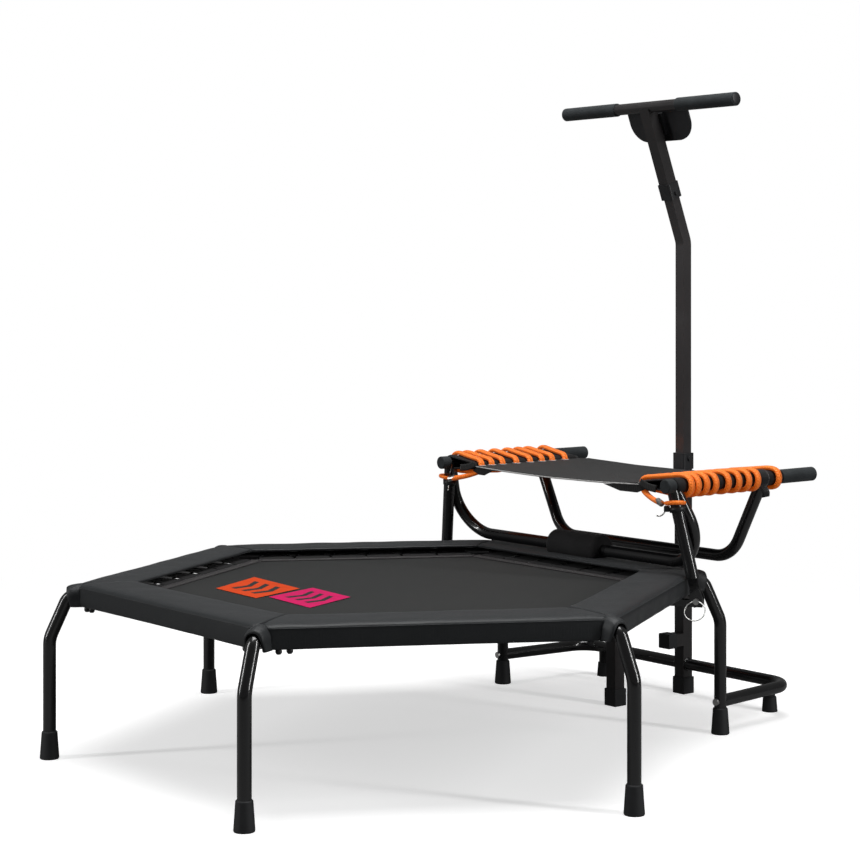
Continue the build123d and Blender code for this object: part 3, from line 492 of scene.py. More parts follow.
PAD = vinyl("pad_cover", (0.0098, 0.0118, 0.0134))
MAT = cloth("mat_weave", (0.0088, 0.0096, 0.0092), 0.0016, 0.00022, 1.5, 0.72, 0.06)
HEM = cloth("hem_webbing", (0.0200, 0.0180, 0.0185), 0.0013, 0.00025, 1.6, 0.8, 0.1)
ELASTIC = cloth("elastic_web", (0.0065, 0.0062, 0.0065), 0.0012, 0.0002, sheen=0.03)
STEP_WEB = cloth("step_weave", (0.0095, 0.0095, 0.0095), 0.0026, 0.0005, 4.2, 0.8, 0.06)
SLEEVE = cloth("sleeve_weave", (0.0060, 0.0058, 0.0062), 0.0012, 0.00018, sheen=0.05)
THREAD = cloth("thread", (0.075, 0.073, 0.073), 0.0009, 0.0001, 1.5, 0.7)
# pale webbing round the eyelets; on the front edge cord its pale colour is a painted highlight of the hem
# fold
BINDING_AND_HIGHLIGHT = cloth("binding_and_highlight", (0.34, 0.335, 0.33), 0.0010, 0.00012, 1.3, 0.7)
STRAP = cloth("strap_loop_pile", (0.006, 0.006, 0.0065), 0.0009, 0.0003, 1.6, 0.95, 0.2)
ORANGE_INK = cloth("orange_ink", (0.60, 0.048, 0.001), 0.0016, 0.00015, 1.1, 0.7, 0.0)
PINK_INK = cloth("magenta_ink", (0.55, 0.001, 0.098), 0.0016, 0.00015, 1.1, 0.7, 0.0)


def braid():
    """Braided sheath: crossing diagonal yarns; u runs along the cord in metres, v round it."""
    # the cord has a faint orange emission: a painted glow, though it is no lamp
    s = Shade("braided_cord", (1.0, 0.215, 0.008), 0.55, Sheen_Weight=0.15, Sheen_Roughness=0.4,
              Emission_Color=(1.0, 0.15, 0.002, 1), Emission_Strength=0.14)
    scaled = s.node("ShaderNodeMapping")
    scaled.inputs["Scale"].default_value = (1 / BRAID_PITCH, 4.0, 1)
    s.wire(s.coords.outputs["UV"], scaled.inputs["Vector"])
    split = s.node("ShaderNodeSeparateXYZ")
    s.wire(scaled.outputs["Vector"], split.inputs[0])
    along = s.math("MULTIPLY", split.outputs[0], 2.0)
    left, right = [
        s.math("SINE", s.math("MULTIPLY", s.math(op, along, split.outputs[1]), 2 * pi))
        for op in ("ADD", "SUBTRACT")
    ]
    high = s.math("MAXIMUM", left, right)
    s.bump(high, 0.00045)
    s.bump(s.noise(900.0, 2.0), 0.0001)
    # darker orange where the yarns dip: painted shade between the yarns
    s.tint(s.span(high, 0.45, 0.0, -0.3, 0.5), (0.80, 0.10, 0.003))
    s.tint(s.span(s.noise(60.0, 3.0), 0.0, 0.35, 0.45, 0.8), (1.0, 0.30, 0.02))
    return s.mat


CORD = braid()


def repaint(mat, *names):
    for n in names:
        obj = NODES[n]
        obj.data.materials.clear()
        obj.data.materials.append(mat)


rails = [n for n in NODES if n.startswith("rail_")]
legs = [n for n in NODES if n.startswith("leg_") and n not in ("leg_tips", "leg_bolts")]
repaint(GLOSS, *rails, *legs, "corner_connectors", "base_frame", "front_hoop", "rear_hoop")
repaint(GLOSS, "step_upright_left", "step_upright_right", "step_bar_left", "step_bar_right")
repaint(SATIN, "tbar_post", "support_post", "tbar_stem", "handlebar")
repaint(LIT_MAST_PAINT, "mast")
repaint(ZINC, "leg_bolts", "base_bolts", "lacing_crimps", "mat_rods")
repaint(ZINC, "lynch_pin_left", "lynch_pin_right", "pin_ring_left", "pin_ring_right")
repaint(RUBBER, "leg_tips", "base_feet", "tbar_post_foot", "support_post_foot", "post_stub_cap",
        "support_saddle")
repaint(PLASTIC, "lower_clamp", "upper_clamp", "lower_clamp_screw", "upper_clamp_screw", "console_plate")
repaint(GRIP, "handlebar_grip_left", "handlebar_grip_right", "step_grip_left", "step_grip_right",
        "step_bar_caps")


# ---- jumping mat: stretched woven sheet, hem strips, printed shapes ----
MAT_T = 0.0016
HEM_T = 0.0012
STITCH_PITCH = 0.006
STITCH_HALF, STITCH_HALF_W = 0.0021, 0.00045


def index(ring, k):
    """Place in the list of point k of a ring of the hexagon."""
    return 0 if ring == 0 else 1 + 3 * ring * (ring - 1) + k % (6 * ring)


def hexagon(apothem, z, steps):
    """Rings of points from the middle out to a hexagon of that apothem."""
    verts = [(0, 0, z)]
    faces = []
    for ring in range(1, steps + 1):
        a = apothem * ring / steps / C30
        for side in range(6):
            p, q = [np.array([cos(radians(t)), sin(radians(t))]) * a for t in (60 * side, 60 * side + 60)]
            for k in range(ring):
                xy = p + (q - p) * k / ring
                verts.append((xy[0], xy[1], z))
    for ring in range(1, steps + 1):
        for side in range(6):
            for k in range(ring):
                o, i = side * ring + k, side * (ring - 1) + k
                faces.append((index(ring, o), index(ring, o + 1), index(ring - 1, i)))
                if k < ring - 1:
                    faces.append((index(ring, o + 1), index(ring - 1, i + 1), index(ring - 1, i)))
    return verts, faces


verts, faces = hexagon(MAT_APOTHEM - 0.001, RIM_Z + 0.0008, 44)
verts = [
    (x, y, z - 0.0012 * (1 - (x * x + y * y) / 0.26) + 0.0005 * noise.noise((x * 5, y * 5, 1)))
    for x, y, z in verts
]
mat_sheet = make("jumping_mat_fabric", verts, faces, MAT)
thicken(mat_sheet, MAT_T)
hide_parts("jumping_mat")
belongs(mat_sheet, "jumping_surface")
for k, angle in enumerate(SIDE_ANGLES):
    m = rot(angle)
    for z0, lift, layer in ((RIM_Z + 0.0022, 1, "top"), (RIM_Z - 0.0016, -1, "under")):
        rows, cols = 9, 64
        vs = []
        for i in range(cols + 1):
            for j in range(rows + 1):
                n = HEM_IN + (MAT_APOTHEM - HEM_IN) * j / rows
                s = (2 * i / cols - 1) * (n * T30 - 0.0004)
                sag = 0.0007 * sin(pi * j / rows) + 0.0003 * noise.noise((s * 40, n * 60, angle))
                vs.append(m @ np.array([n, s, z0 + lift * sag]))
        hem = make(f"mat_hem_{k}_{layer}", vs, grid_faces(cols, rows), HEM)
        thicken(hem, HEM_T)
        belongs(hem, "jumping_surface")
    # each stitch is a small ridged wedge of thread
    along = m @ np.array([0, 1.0, 0])
    across = np.cross(along, [0, 0, 1.0])
    vs, fs = [], []
    for n in (HEM_IN + 0.003, HEM_IN + 0.009, MAT_APOTHEM - 0.004):
        half = n * T30 - STITCH_PITCH
        count = int(2 * half / STITCH_PITCH)
        for i in range(count):
            s = -half + 2 * half * (i + 0.5) / count
            c = m @ np.array([n, s, RIM_Z + 0.0035])
            o = len(vs)
            for a, b, h in ((-1, -1, 0), (-1, 1, 0), (1, 1, 0), (1, -1, 0), (-0.5, 0, 1), (0.5, 0, 1)):
                vs.append(c + along * a * STITCH_HALF + across * b * STITCH_HALF_W
                          + np.array([0, 0, h * 0.0004 - 0.0003]))
            fs += [(o, o + 1, o + 4), (o + 1, o + 2, o + 5, o + 4),
                   (o + 2, o + 3, o + 5), (o + 3, o, o + 4, o + 5)]
    stitch = make(f"mat_hem_stitch_{k}", vs, fs, THREAD)
    belongs(stitch, "jumping_surface")


def printed(name, quad, mat, z, shapes):
    """Flat shapes given in the unit square of a quad, whose corners are in millimetres."""
    q = np.array(quad) / 1000
    vs, fs = [], []
    for shape in shapes:
        base = len(vs)
        for u, v in shape:
            xy = (q[0] * (1 - u) + q[3] * u) * (1 - v) + (q[1] * (1 - u) + q[2] * u) * v
            vs.append((xy[0], xy[1], z))
        fs.append(tuple(range(base, len(vs))))
    obj = make(name, vs, fs, mat, smooth=False)
    bm = bmesh.new()
    bm.from_mesh(obj.data)
    bmesh.ops.triangulate(bm, faces=bm.faces)
    bmesh.ops.subdivide_edges(bm, edges=bm.edges, cuts=2, use_grid_fill=True)
    bm.to_mesh(obj.data)
    bm.free()
    belongs(obj, "jumping_surface")
    return obj


chevrons = []
for u in (0.18, 0.42, 0.66):
    chevrons.append([(u, 0.2), (u + 0.10, 0.2), (u + 0.20, 0.5), (u + 0.10, 0.5)])
    chevrons.append([(u + 0.10, 0.5), (u + 0.20, 0.5), (u + 0.10, 0.8), (u, 0.8)])
square = [[(0, 0), (1, 0), (1, 1), (0, 1)]]
print_z = RIM_Z + 0.0012
ORANGE_QUAD = [(-208, -290), (-288, -143), (-100, -161), (-53, -299)]
PINK_QUAD = [(-50, -271), (-92, -135), (52, -148), (108, -286)]
prints = [
    printed("print_orange", ORANGE_QUAD, ORANGE_INK, print_z, square),
    printed("print_magenta", PINK_QUAD, PINK_INK, print_z, square),
    printed("print_marks_orange", ORANGE_QUAD, MAT, print_z + 0.0002, chevrons),
    printed("print_marks_magenta", PINK_QUAD, MAT, print_z + 0.0002, chevrons),
]

# ---- elastic loops round the rail and through the hem ----
LOOPS_PER_SIDE = 6
LOOP_PITCH = 0.080
LOOP_HALF_T = 0.0008
LOOP_HALF_AT_RAIL = 0.0140
LOOP_WIDENS = 0.0245  # half width gained towards the mat
around_rail = [
    (RAIL_APOTHEM + (TUBE_R + 0.0017) * cos(a), RIM_Z + (TUBE_R + 0.0017) * sin(a))
    for a in np.linspace(radians(115), radians(-115), 16)
]
inner = MAT_APOTHEM - 0.006
loop_path = np.array(around_rail + [
    (RAIL_APOTHEM - 0.030, RIM_Z - 0.0062), (inner + 0.020, RIM_Z - 0.0045), (inner, RIM_Z - 0.0040),
    (inner - 0.0035, RIM_Z), (inner, RIM_Z + 0.0050), (inner + 0.020, RIM_Z + 0.0050),
    (RAIL_APOTHEM - 0.030, RIM_Z + 0.0066),
])
loop_wide = np.linspace(-1, 1, 7)
for k, angle in enumerate(SIDE_ANGLES):
    m = rot(angle)
    parts = []
    for i in range(LOOPS_PER_SIDE):
        s = (i - (LOOPS_PER_SIDE - 1) / 2) * LOOP_PITCH
        vs = []
        skew = 0.003 * noise.noise((i * 3.1, k * 2.3, 0.5))
        for q, (n, z) in enumerate(loop_path):
            prev, nxt = loop_path[q - 1], loop_path[(q + 1) % len(loop_path)]
            t = (nxt - prev) / np.linalg.norm(nxt - prev)
            out = np.array([-t[1], t[0]])
            half = LOOP_HALF_AT_RAIL + LOOP_WIDENS * min(1.0, max(0.0, (RAIL_APOTHEM - 0.016 - n) / 0.030))
            for thick, row in ((LOOP_HALF_T, loop_wide), (-LOOP_HALF_T, loop_wide[::-1])):
                for w in row:
                    bow = thick * (1 - 0.5 * w ** 4)
                    vs.append(m @ np.array([n + out[0] * bow, s + skew * (RAIL_APOTHEM - n) * 8 + w * half,
                                            z + out[1] * bow]))
        fs = ring_faces(len(loop_path), 2 * len(loop_wide), closed=True)
        parts.append(fix_normals(make("loop", vs, fs, ELASTIC)))
    loops = join(f"elastic_loops_{k}", parts)
    loops.data.polygons.foreach_set("use_smooth", [True] * len(loops.data.polygons))
    subdivide(loops)
    apply_modifiers(loops)
    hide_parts("elastic_loops")
    n = m @ np.array([1.0, 0, 0])
    start, end = n * (RAIL_APOTHEM - 0.014), n * (MAT_APOTHEM + 0.001)
    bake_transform(loops)

# ---- rim pad: one padded cushion for each side ----
# (distance from the middle, height) round the cushion: top from the inner edge, skirt, underside
PAD_PROFILE = [
    (0.4425, 0.3390), (0.4432, 0.3415), (0.4465, 0.3428), (0.456, 0.3431), (0.468, 0.3432),
    (0.480, 0.3433), (0.492, 0.3433), (0.504, 0.3432), (0.515, 0.3430), (0.525, 0.3426),
    (0.534, 0.3418), (0.541, 0.3406), (0.5465, 0.3388), (0.5495, 0.3362), (0.5504, 0.3325),
    (0.5506, 0.327), (0.5506, 0.321), (0.5506, 0.315), (0.5506, 0.309), (0.5504, 0.303),
    (0.5496, 0.2988), (0.5465, 0.2974), (0.5435, 0.2988), (0.5424, 0.303), (0.5420, 0.309),
    (0.5418, 0.315), (0.5416, 0.321), (0.5412, 0.327), (0.5395, 0.3325), (0.534, 0.3353),
    (0.525, 0.3356), (0.512, 0.3356), (0.498, 0.3356), (0.484, 0.3356), (0.470, 0.3356),
    (0.456, 0.3357), (0.4462, 0.3362),
]


SKIRT_N = 0.5405  # the skirt hangs outside this distance from the middle
PAD_COLS = 74
PAD_SWELL = 0.0011  # furthest that the cloth simulation may move a point
PIPING_R = 0.0009


def end_of(n, z):
    """Half length of a pad at one point of its profile: mitre, leg notch and skirt slit."""
    half = n * T30 - 0.0003
    if n > 0.532:
        half -= 0.015 * min(1.0, (n - 0.532) / 0.018) ** 1.3
    if n > SKIRT_N and z < 0.3370:
        half -= 0.0105 * min(1.0, (0.3370 - z) / 0.012)
    return half


# columns lie closer together towards the two ends
even = np.linspace(-1, 1, PAD_COLS + 1)
u = np.sin(np.linspace(-pi / 2, pi / 2, PAD_COLS + 1)) * 0.25 + even * 0.75
per = len(PAD_PROFILE)
pad_faces = ring_faces(PAD_COLS + 1, per)
# close the two ends with strips between the outer and inner skin
for a in (0, PAD_COLS * per):
    lo, hi = 0, per - 1
    while hi - lo > 2:
        pad_faces.append((a + lo, a + lo + 1, a + hi - 1, a + hi))
        lo, hi = lo + 1, hi - 1
    if hi - lo == 2:
        pad_faces.append((a + lo, a + lo + 1, a + hi))

for k, angle in enumerate(SIDE_ANGLES):
    m = rot(angle)
    vs = [m @ np.array([n, f * end_of(n, z), z]) for f in u for n, z in PAD_PROFILE]
    pad = fix_normals(make(f"rim_pad_{k}", vs, pad_faces, PAD))
    inflate(pad, 5.0, PAD_SWELL, frames=14, stiffness=16.0)
    co = np.array([v.co[:] for v in pad.data.vertices])
    for v in range(len(co)):
        n, s, z = m.T @ co[v]
        edge = max(0.0, 1 - abs(abs(s) - n * T30) / 0.05)
        ripple = noise.noise((s * 16 + k * 9, n * 30, z * 30)) * 0.0012
        ripple += edge * noise.noise((s * 70 + k * 5, n * 50, z * 55)) * 0.0010
        if n > SKIRT_N and z < 0.334:
            skirt = (0.334 - z) / 0.036
            n += skirt * 0.0009 * noise.noise((s * 22 + k * 7, 0.3, 0.1))
            n -= skirt * 0.0008
        elif z > 0.339:
            z += ripple * 0.8
        co[v] = m @ np.array([n, s, z])
    pad.data.vertices.foreach_set("co", co.ravel())
    pad.data.update()
    subdivide(pad)
    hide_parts("rim_pad")
    belongs(pad)
    # piping along the outer crease
    run = [m @ np.array([0.5502, s, 0.3352]) for s in np.linspace(-0.296, 0.296, 60)]
    belongs(sweep(f"pad_seam_{k}", run, circle(PIPING_R, 8), PAD))

# ---- corners of the pad: seam, hood over the leg's elbow, toggles ----
MITRE_R = 0.0026
HOOD_ROWS, HOOD_PER = 12, 25
HOOD_ARCH = 0.42  # share of the hood's half outline that goes over the tube; the rest hangs
HOOD_START, HOOD_REACH = 0.616, 0.0335
HOOD_FOOT_Z = 0.2975
KNOB = [(0.0003, -0.0062), (0.0035, -0.0056), (0.0056, -0.003), (0.006, 0.0), (0.0052, 0.0034),
        (0.003, 0.0056), (0.0026, 0.0085), (0.0005, 0.009)]

sheet = (HOOD_ROWS + 1) * HOOD_PER
hood_faces = [f for skin in (0, sheet) for f in grid_faces(HOOD_ROWS, HOOD_PER - 1, skin)]
border = list(range(HOOD_PER)) + [i * HOOD_PER + HOOD_PER - 1 for i in range(1, HOOD_ROWS + 1)]
border += [HOOD_ROWS * HOOD_PER + j for j in range(HOOD_PER - 2, -1, -1)]
border += [i * HOOD_PER for i in range(HOOD_ROWS - 1, 0, -1)]
hood_faces += [(a, b, sheet + b, sheet + a) for a, b in zip(border, border[1:] + border[:1])]


def hood_point(f, g, skin, k):
    """Point of a hood: f runs outwards, g from side to side, skin is 1 outside and 0 inside."""
    round_off = cos(f * pi / 2)
    wide = 0.0143 + 0.0044 * round_off ** 0.8 + 0.0030 * skin
    middle = 0.3156 + 0.0052 * round_off
    if abs(g) < HOOD_ARCH:
        a = abs(g) / HOOD_ARCH * pi / 2
        s, z = wide * sin(a), middle + wide * cos(a)
    else:
        drop = (abs(g) - HOOD_ARCH) / (1 - HOOD_ARCH)
        s, z = wide + 0.0022 * drop * skin, middle - (middle - HOOD_FOOT_Z) * drop
    s *= 1 if g > 0 else -1
    reach = HOOD_START + sin(f * pi / 2) * (HOOD_REACH - 0.008 * max(0.0, 0.320 - z) / 0.022)
    fold = 0.0012 * noise.noise((reach * 60, s * 70, z * 70 + k * 3)) * min(1.0, 3 * f)
    return np.array([reach, s + fold, z + fold])


for k, angle in enumerate(CORNER_ANGLES):
    m = rot(angle)
    run = [m @ np.array([r, 0.0, 0.3384]) for r in np.linspace(0.5125, HOOD_START, 24)]
    belongs(sweep(f"pad_mitre_{k}", run, circle(MITRE_R, 10), PAD))
    vs = [m @ hood_point(i / HOOD_ROWS, 2 * j / (HOOD_PER - 1) - 1, skin, k)
          for skin in (1, 0) for i in range(HOOD_ROWS + 1) for j in range(HOOD_PER)]
    hood = fix_normals(make(f"pad_hood_{k}", vs, hood_faces, PAD))
    subdivide(hood)
    belongs(hood)
    # elastic toggles that draw the skirt in under the corner
    parts = []
    for s, n, drop in ((-0.034, 0.607, 0.0), (0.030, 0.609, 0.001), (0.047, 0.600, 0.0)):
        c = m @ np.array([n, s, 0.2965 - drop])
        parts.append(lathe("knob", KNOB, tuple(c), (0, 0, 1), PLASTIC, 20))
        top = c + np.array([0, 0, 0.008])
        inward = m @ np.array([0.582, s * 0.8, 0.3035])
        draw = [tuple(top), tuple((top + inward) / 2 - [0, 0, 0.001]), tuple(inward)]
        parts.append(tube("draw", draw, 0.0014, ELASTIC, 0.003, 8))
    belongs(join(f"skirt_toggles_{k}", parts))

# ---- step: padded covers, woven mat, lacing ----
# where the turns of cord cross the bar, along Y: 1 is the right-hand side, -1 the left
TURNS = {
    1: [0.469, 0.489, 0.514, 0.541, 0.578, 0.610, 0.640, 0.668, 0.733],
    -1: [0.469, 0.494, 0.534, 0.578, 0.618, 0.652, 0.682, 0.733],
}
FRONT_INNER_Y = 0.451
CORD_R = 0.0054
CORD_STEP = 0.0026
CORD_PER = 16
COVER_COLS = 150
COVER_Y = (0.4375, 0.7515)
LACE_IN_X = 0.2542  # inner edge of the turns, in the holes of the mat


def turns(sign):
    """Where the turns lie at the mat and at the bar."""
    outer = TURNS[sign]
    inner = [FRONT_INNER_Y] + [(a + b) / 2 for a, b in zip(outer, outer[1:])]
    return inner, outer


def cover_outline(grow):
    """Outline round the bar and the rod: points (x, z), anticlockwise from under the bar."""
    big, small = 0.016 + grow, 0.0085 + grow
    dx, dz = BAR_X - ROD_X, BAR_Z - ROD_Z
    d = (dx * dx + dz * dz) ** 0.5
    lean = np.arcsin((big - small) / d)
    base = np.arctan2(dz, dx)
    up = base + pi / 2 + lean
    low = base - pi / 2 - lean
    round_bar = np.array([(BAR_X + big * cos(a), BAR_Z + big * sin(a)) for a in np.linspace(low, up, 26)])
    round_rod = np.array([(ROD_X + small * cos(a), ROD_Z + small * sin(a))
                          for a in np.linspace(up, low + 2 * pi, 16)])
    between = np.linspace(0, 1, 12)[1:-1, None]
    top = round_bar[-1] + (round_rod[0] - round_bar[-1]) * between
    under = round_rod[-1] + (round_bar[0] - round_rod[-1]) * between
    return np.vstack([round_bar, top, round_rod, under])


def cord_y(sign, x, top):
    """Where along the bar the turns cross a given x, on the top or underneath."""
    inner, outer = turns(sign)
    f = np.clip((x - LACE_IN_X) / 0.121, 0, 1)
    if top:
        return [a + (b - a) * f for a, b in zip(inner, outer)]
    return [b + (a - b) * (1 - f) for a, b in zip(inner[1:], outer)]


def wrapped_cord(name, line, sign):
    """Cord pressed flat against the cover it goes round, and full again where it leaves it."""
    p, t, _, _ = frames_along(line)
    rod = np.array([sign * ROD_X, ROD_Z])
    bar = np.array([sign * BAR_X, BAR_Z])
    out = []
    for q in p:
        xz = np.array([q[0], q[2]])
        f = np.clip((xz - rod) @ (bar - rod) / ((bar - rod) @ (bar - rod)), 0, 1)
        d = xz - (rod + (bar - rod) * f)
        out.append((d[0], 0.0, d[1]))
    out = np.array(out)
    for _ in range(3):
        out[1:-1] = (out[:-2] + 2 * out[1:-1] + out[2:]) / 4
    rings, uv = [], []
    run = length_along(p)
    for i in range(len(p)):
        n = out[i] - t[i] * (out[i] @ t[i])
        n /= np.linalg.norm(n)
        b = np.cross(t[i], n)
        flat = min(1.0, max(0.0, (p[i][1] - 0.436) / 0.012))
        wide, high = CORD_R + 0.0024 * flat, CORD_R - 0.0006 * flat
        for j in range(CORD_PER):
            a = 2 * pi * j / CORD_PER
            rings.append(p[i] + n * high * cos(a) + b * wide * sin(a))
            uv.append((run[i], j / CORD_PER))
    faces = ring_faces(len(p), CORD_PER) + end_faces(len(p), CORD_PER)
    return fix_normals(make(name, rings, faces, CORD, uv=uv))


def cord_route(sign):
    """Points that lead a cord: the tail at the front, then each turn under, up, over and down."""
    inner, outer = turns(sign)
    route = [(0.334, 0.424, 0.487), (0.318, 0.427, 0.4895), (0.290, 0.436, 0.4955), (0.266, 0.446, 0.5035)]
    for k, (yi, yo) in enumerate(zip(inner, outer)):
        if k:
            yb = outer[k - 1]
            route += [(0.330, yb + (yi - yb) * 0.35, 0.5008), (0.285, yb + (yi - yb) * 0.75, 0.5042)]
        route += [
            (0.2623, yi - 0.0005, 0.5058), (0.2543, yi, 0.5118), (0.2538, yi, 0.5255),
            (0.2613, yi + 0.001, 0.5335), (0.285, yi + (yo - yi) * 0.25, 0.5358),
            (0.325, yi + (yo - yi) * 0.62, 0.5402), (0.352, yi + (yo - yi) * 0.9, 0.5436),
            (0.3690, yo, 0.5400), (0.3762, yo, 0.5285), (0.3762, yo, 0.5160), (0.3690, yo, 0.5050),
            (0.3540, yo + 0.001, 0.5006),
        ]
    route += [(0.330, outer[-1] + 0.004, 0.5008), (0.274, outer[-1] + 0.009, 0.5045)]
    return [(sign * x, y, z) for x, y, z in route]


bar_centre, rod_centre = np.array([BAR_X, BAR_Z]), np.array([ROD_X, ROD_Z])
outline, inner_ring = cover_outline(-0.0008), cover_outline(-0.0042)
OUTLINE_PER = len(outline)
mid = np.array([(BAR_X + ROD_X) / 2 + 0.006, BAR_Z - 0.001])
ys = np.linspace(*COVER_Y, COVER_COLS + 1)
for sign, side in SIDES:
    # the cover puffs up between the turns of cord and is pressed in under them
    vs = []
    for y in ys:
        ends = min(1.0, min(y - ys[0], ys[-1] - y) / 0.006)
        for x, z in outline:
            near = min(abs(y - c) for c in cord_y(sign, x, z > BAR_Z - 0.002))
            puff = 0.0016 * (1 - np.exp(-((near / 0.010) ** 2))) - 0.0012 * np.exp(-((near / 0.006) ** 2))
            puff *= ends
            puff -= 0.0012 * (1 - ends) ** 2
            puff += 0.0005 * noise.noise((x * 45, y * 45, z * 45 + sign))
            direction = np.array([x, z]) - (bar_centre if x > mid[0] else rod_centre)
            if abs(direction[0]) < abs(direction[1]) * 1.2:
                direction = np.array([0.0, np.sign(z - mid[1])])
            direction = direction / max(np.linalg.norm(direction), 1e-9)
            vs.append((sign * (x + direction[0] * puff), y, z + direction[1] * puff))
    fs = ring_faces(COVER_COLS + 1, OUTLINE_PER)
    # the ends turn in and run back inside as a sleeve wall
    for end, step in ((0, 1), (COVER_COLS, -1)):
        prev = end * OUTLINE_PER
        for depth in (0.0, 0.003, 0.010, 0.030):
            base = len(vs)
            vs += [(sign * x, ys[end] + step * depth, z) for x, z in inner_ring]
            for j in range(OUTLINE_PER):
                after = (j + 1) % OUTLINE_PER
                fs.append((prev + j, prev + after, base + after, base + j))
            prev = base
        fs.append(tuple(range(prev, prev + OUTLINE_PER)))
    cover = fix_normals(make(f"step_cover_sleeve_{side}", vs, fs, SLEEVE))
    subdivide(cover)
    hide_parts(f"step_cover_{side}")
    belongs(cover)

    lace = wrapped_cord(f"lacing_cord_{side}", smooth_line(cord_route(sign), CORD_STEP), sign)
    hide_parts(f"lacing_{side}")
    belongs(lace)

# step mat with its rod pockets, hem edges and corner tabs; the pale cord on the front hem edge is a painted
# highlight of the fold
STEP_HALF_X = 0.262
STEP_FRONT, STEP_LONG = 0.4405, 0.3385
STEP_COLS, STEP_ROWS = 84, 60
STEP_MAT_T = 0.0022
POCKET_R, POCKET_T, POCKET_RINGS = 0.0063, 0.0008, 40
EYELET_R, EYELET_WIRE, EYELET_Z = 0.0085, 0.0013, 0.5208
ROUND_PER = 24


def mat_z(x, y):
    """Height of the step mat, which dips a little between its rods."""
    across = 1 - (abs(x) / STEP_HALF_X) ** 2
    return 0.5192 - 0.0062 * max(0.0, across) + 0.0006 * noise.noise((x * 9, y * 9, 4))


def ribbon(name, points, normal, half, mat, thick):
    """Flat band: follows points, its width along `normal`."""
    p, t, _, _ = frames_along(points)
    w = np.array(normal, float)
    rings = []
    for i in range(len(p)):
        side = w - t[i] * (w @ t[i])
        side /= np.linalg.norm(side)
        up = np.cross(t[i], side)
        rings.append([p[i] + side * a * half + up * b * thick / 2
                      for a, b in ((-1, -1), (-0.5, -1.05), (0, -1.1), (0.5, -1.05), (1, -1),
                                   (1, 1), (0.5, 1.05), (0, 1.1), (-0.5, 1.05), (-1, 1))])
    rings = np.array(rings)
    count, k = rings.shape[:2]
    return fix_normals(make(name, rings.reshape(-1, 3), ring_faces(count, k) + end_faces(count, k), mat))


vs = []
for i in range(STEP_COLS + 1):
    x = -STEP_HALF_X + 2 * STEP_HALF_X * i / STEP_COLS
    for j in range(STEP_ROWS + 1):
        y = STEP_FRONT + STEP_LONG * j / STEP_ROWS
        if abs(x) > 0.25:
            y = min(y, 0.757)
        vs.append((x, y, mat_z(x, y)))
step_sheet = make("step_mat_fabric", vs, grid_faces(STEP_COLS, STEP_ROWS), STEP_WEB)
thicken(step_sheet, STEP_MAT_T)
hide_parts("step_mat")
belongs(step_sheet)

step_extras = []
# the front edge cord is a real rolled hem, and its pale colour is a painted highlight along the fold
for name, y, inwards, wide, mat in (("front", 0.4398, 0.012, STEP_HALF_X, BINDING_AND_HIGHLIGHT),
                                    ("rear", 0.7797, -0.012, 0.249, HEM)):
    xs = np.linspace(-wide, wide, 90)
    edge = [(x, y, mat_z(x, y) - 0.0003) for x in xs]
    fold = [(x, y + inwards, mat_z(x, y) + 0.0014) for x in xs]
    step_extras.append(sweep(f"step_mat_edge_{name}", edge, circle(0.0016, 8), mat))
    step_extras.append(ribbon(f"step_mat_hem_{name}", fold, (0, 1, 0), 0.011, STEP_WEB, 0.0012))
for (sign, side), low, start in zip(SIDES, (0.200, 0.232), (0.150, 0.206)):
    tab = [(start, 0.5122), (low, 0.5010), (0.250, 0.5012), (0.2700, 0.5085), (0.266, 0.5240),
           (0.246, 0.5215), (0.215, 0.5165), (0.18, 0.5140)]
    vs = [(sign * x, y, z) for y in (0.4392, 0.4412) for x, z in tab]
    fs = end_faces(2, len(tab)) + ring_faces(2, len(tab))
    step_extras.append(fix_normals(make(f"step_mat_tab_{side}", vs, fs, STEP_WEB, smooth=False)))
    flap = [(sign * x, y, z) for x, y, z in (
        (0.262, 0.4355, 0.5245), (0.272, 0.4350, 0.5205), (0.288, 0.4348, 0.5150), (0.309, 0.4348, 0.5135))]
    ear = ribbon(f"step_mat_ear_{side}", smooth_line(flap, 0.004), (0, 0.15, 1), 0.0075, STEP_WEB, 0.0016)
    step_extras.append(ear)
    # pocket round the rod, and a ring of webbing at each hole of the lacing
    vs = [(sign * (ROD_X + POCKET_R * cos(a)), y, ROD_Z + POCKET_R * sin(a))
          for y in np.linspace(STEP_FRONT, 0.7568, POCKET_RINGS) for a in round_angles(ROUND_PER)]
    sleeve = fix_normals(make(f"step_mat_pocket_{side}", vs, ring_faces(POCKET_RINGS, ROUND_PER), STEP_WEB))
    thicken(sleeve, POCKET_T)
    step_extras.append(sleeve)
    eyes = []
    for y in turns(sign)[0]:
        ring = [(sign * LACE_IN_X + EYELET_R * cos(a), y + EYELET_R * sin(a), EYELET_Z)
                for a in round_angles(ROUND_PER)]
        eyes.append(sweep("eye", ring, circle(EYELET_WIRE, 8), BINDING_AND_HIGHLIGHT, closed=True))
    step_extras.append(join(f"step_mat_eyelets_{side}", eyes))
for piece in step_extras:
    belongs(piece)

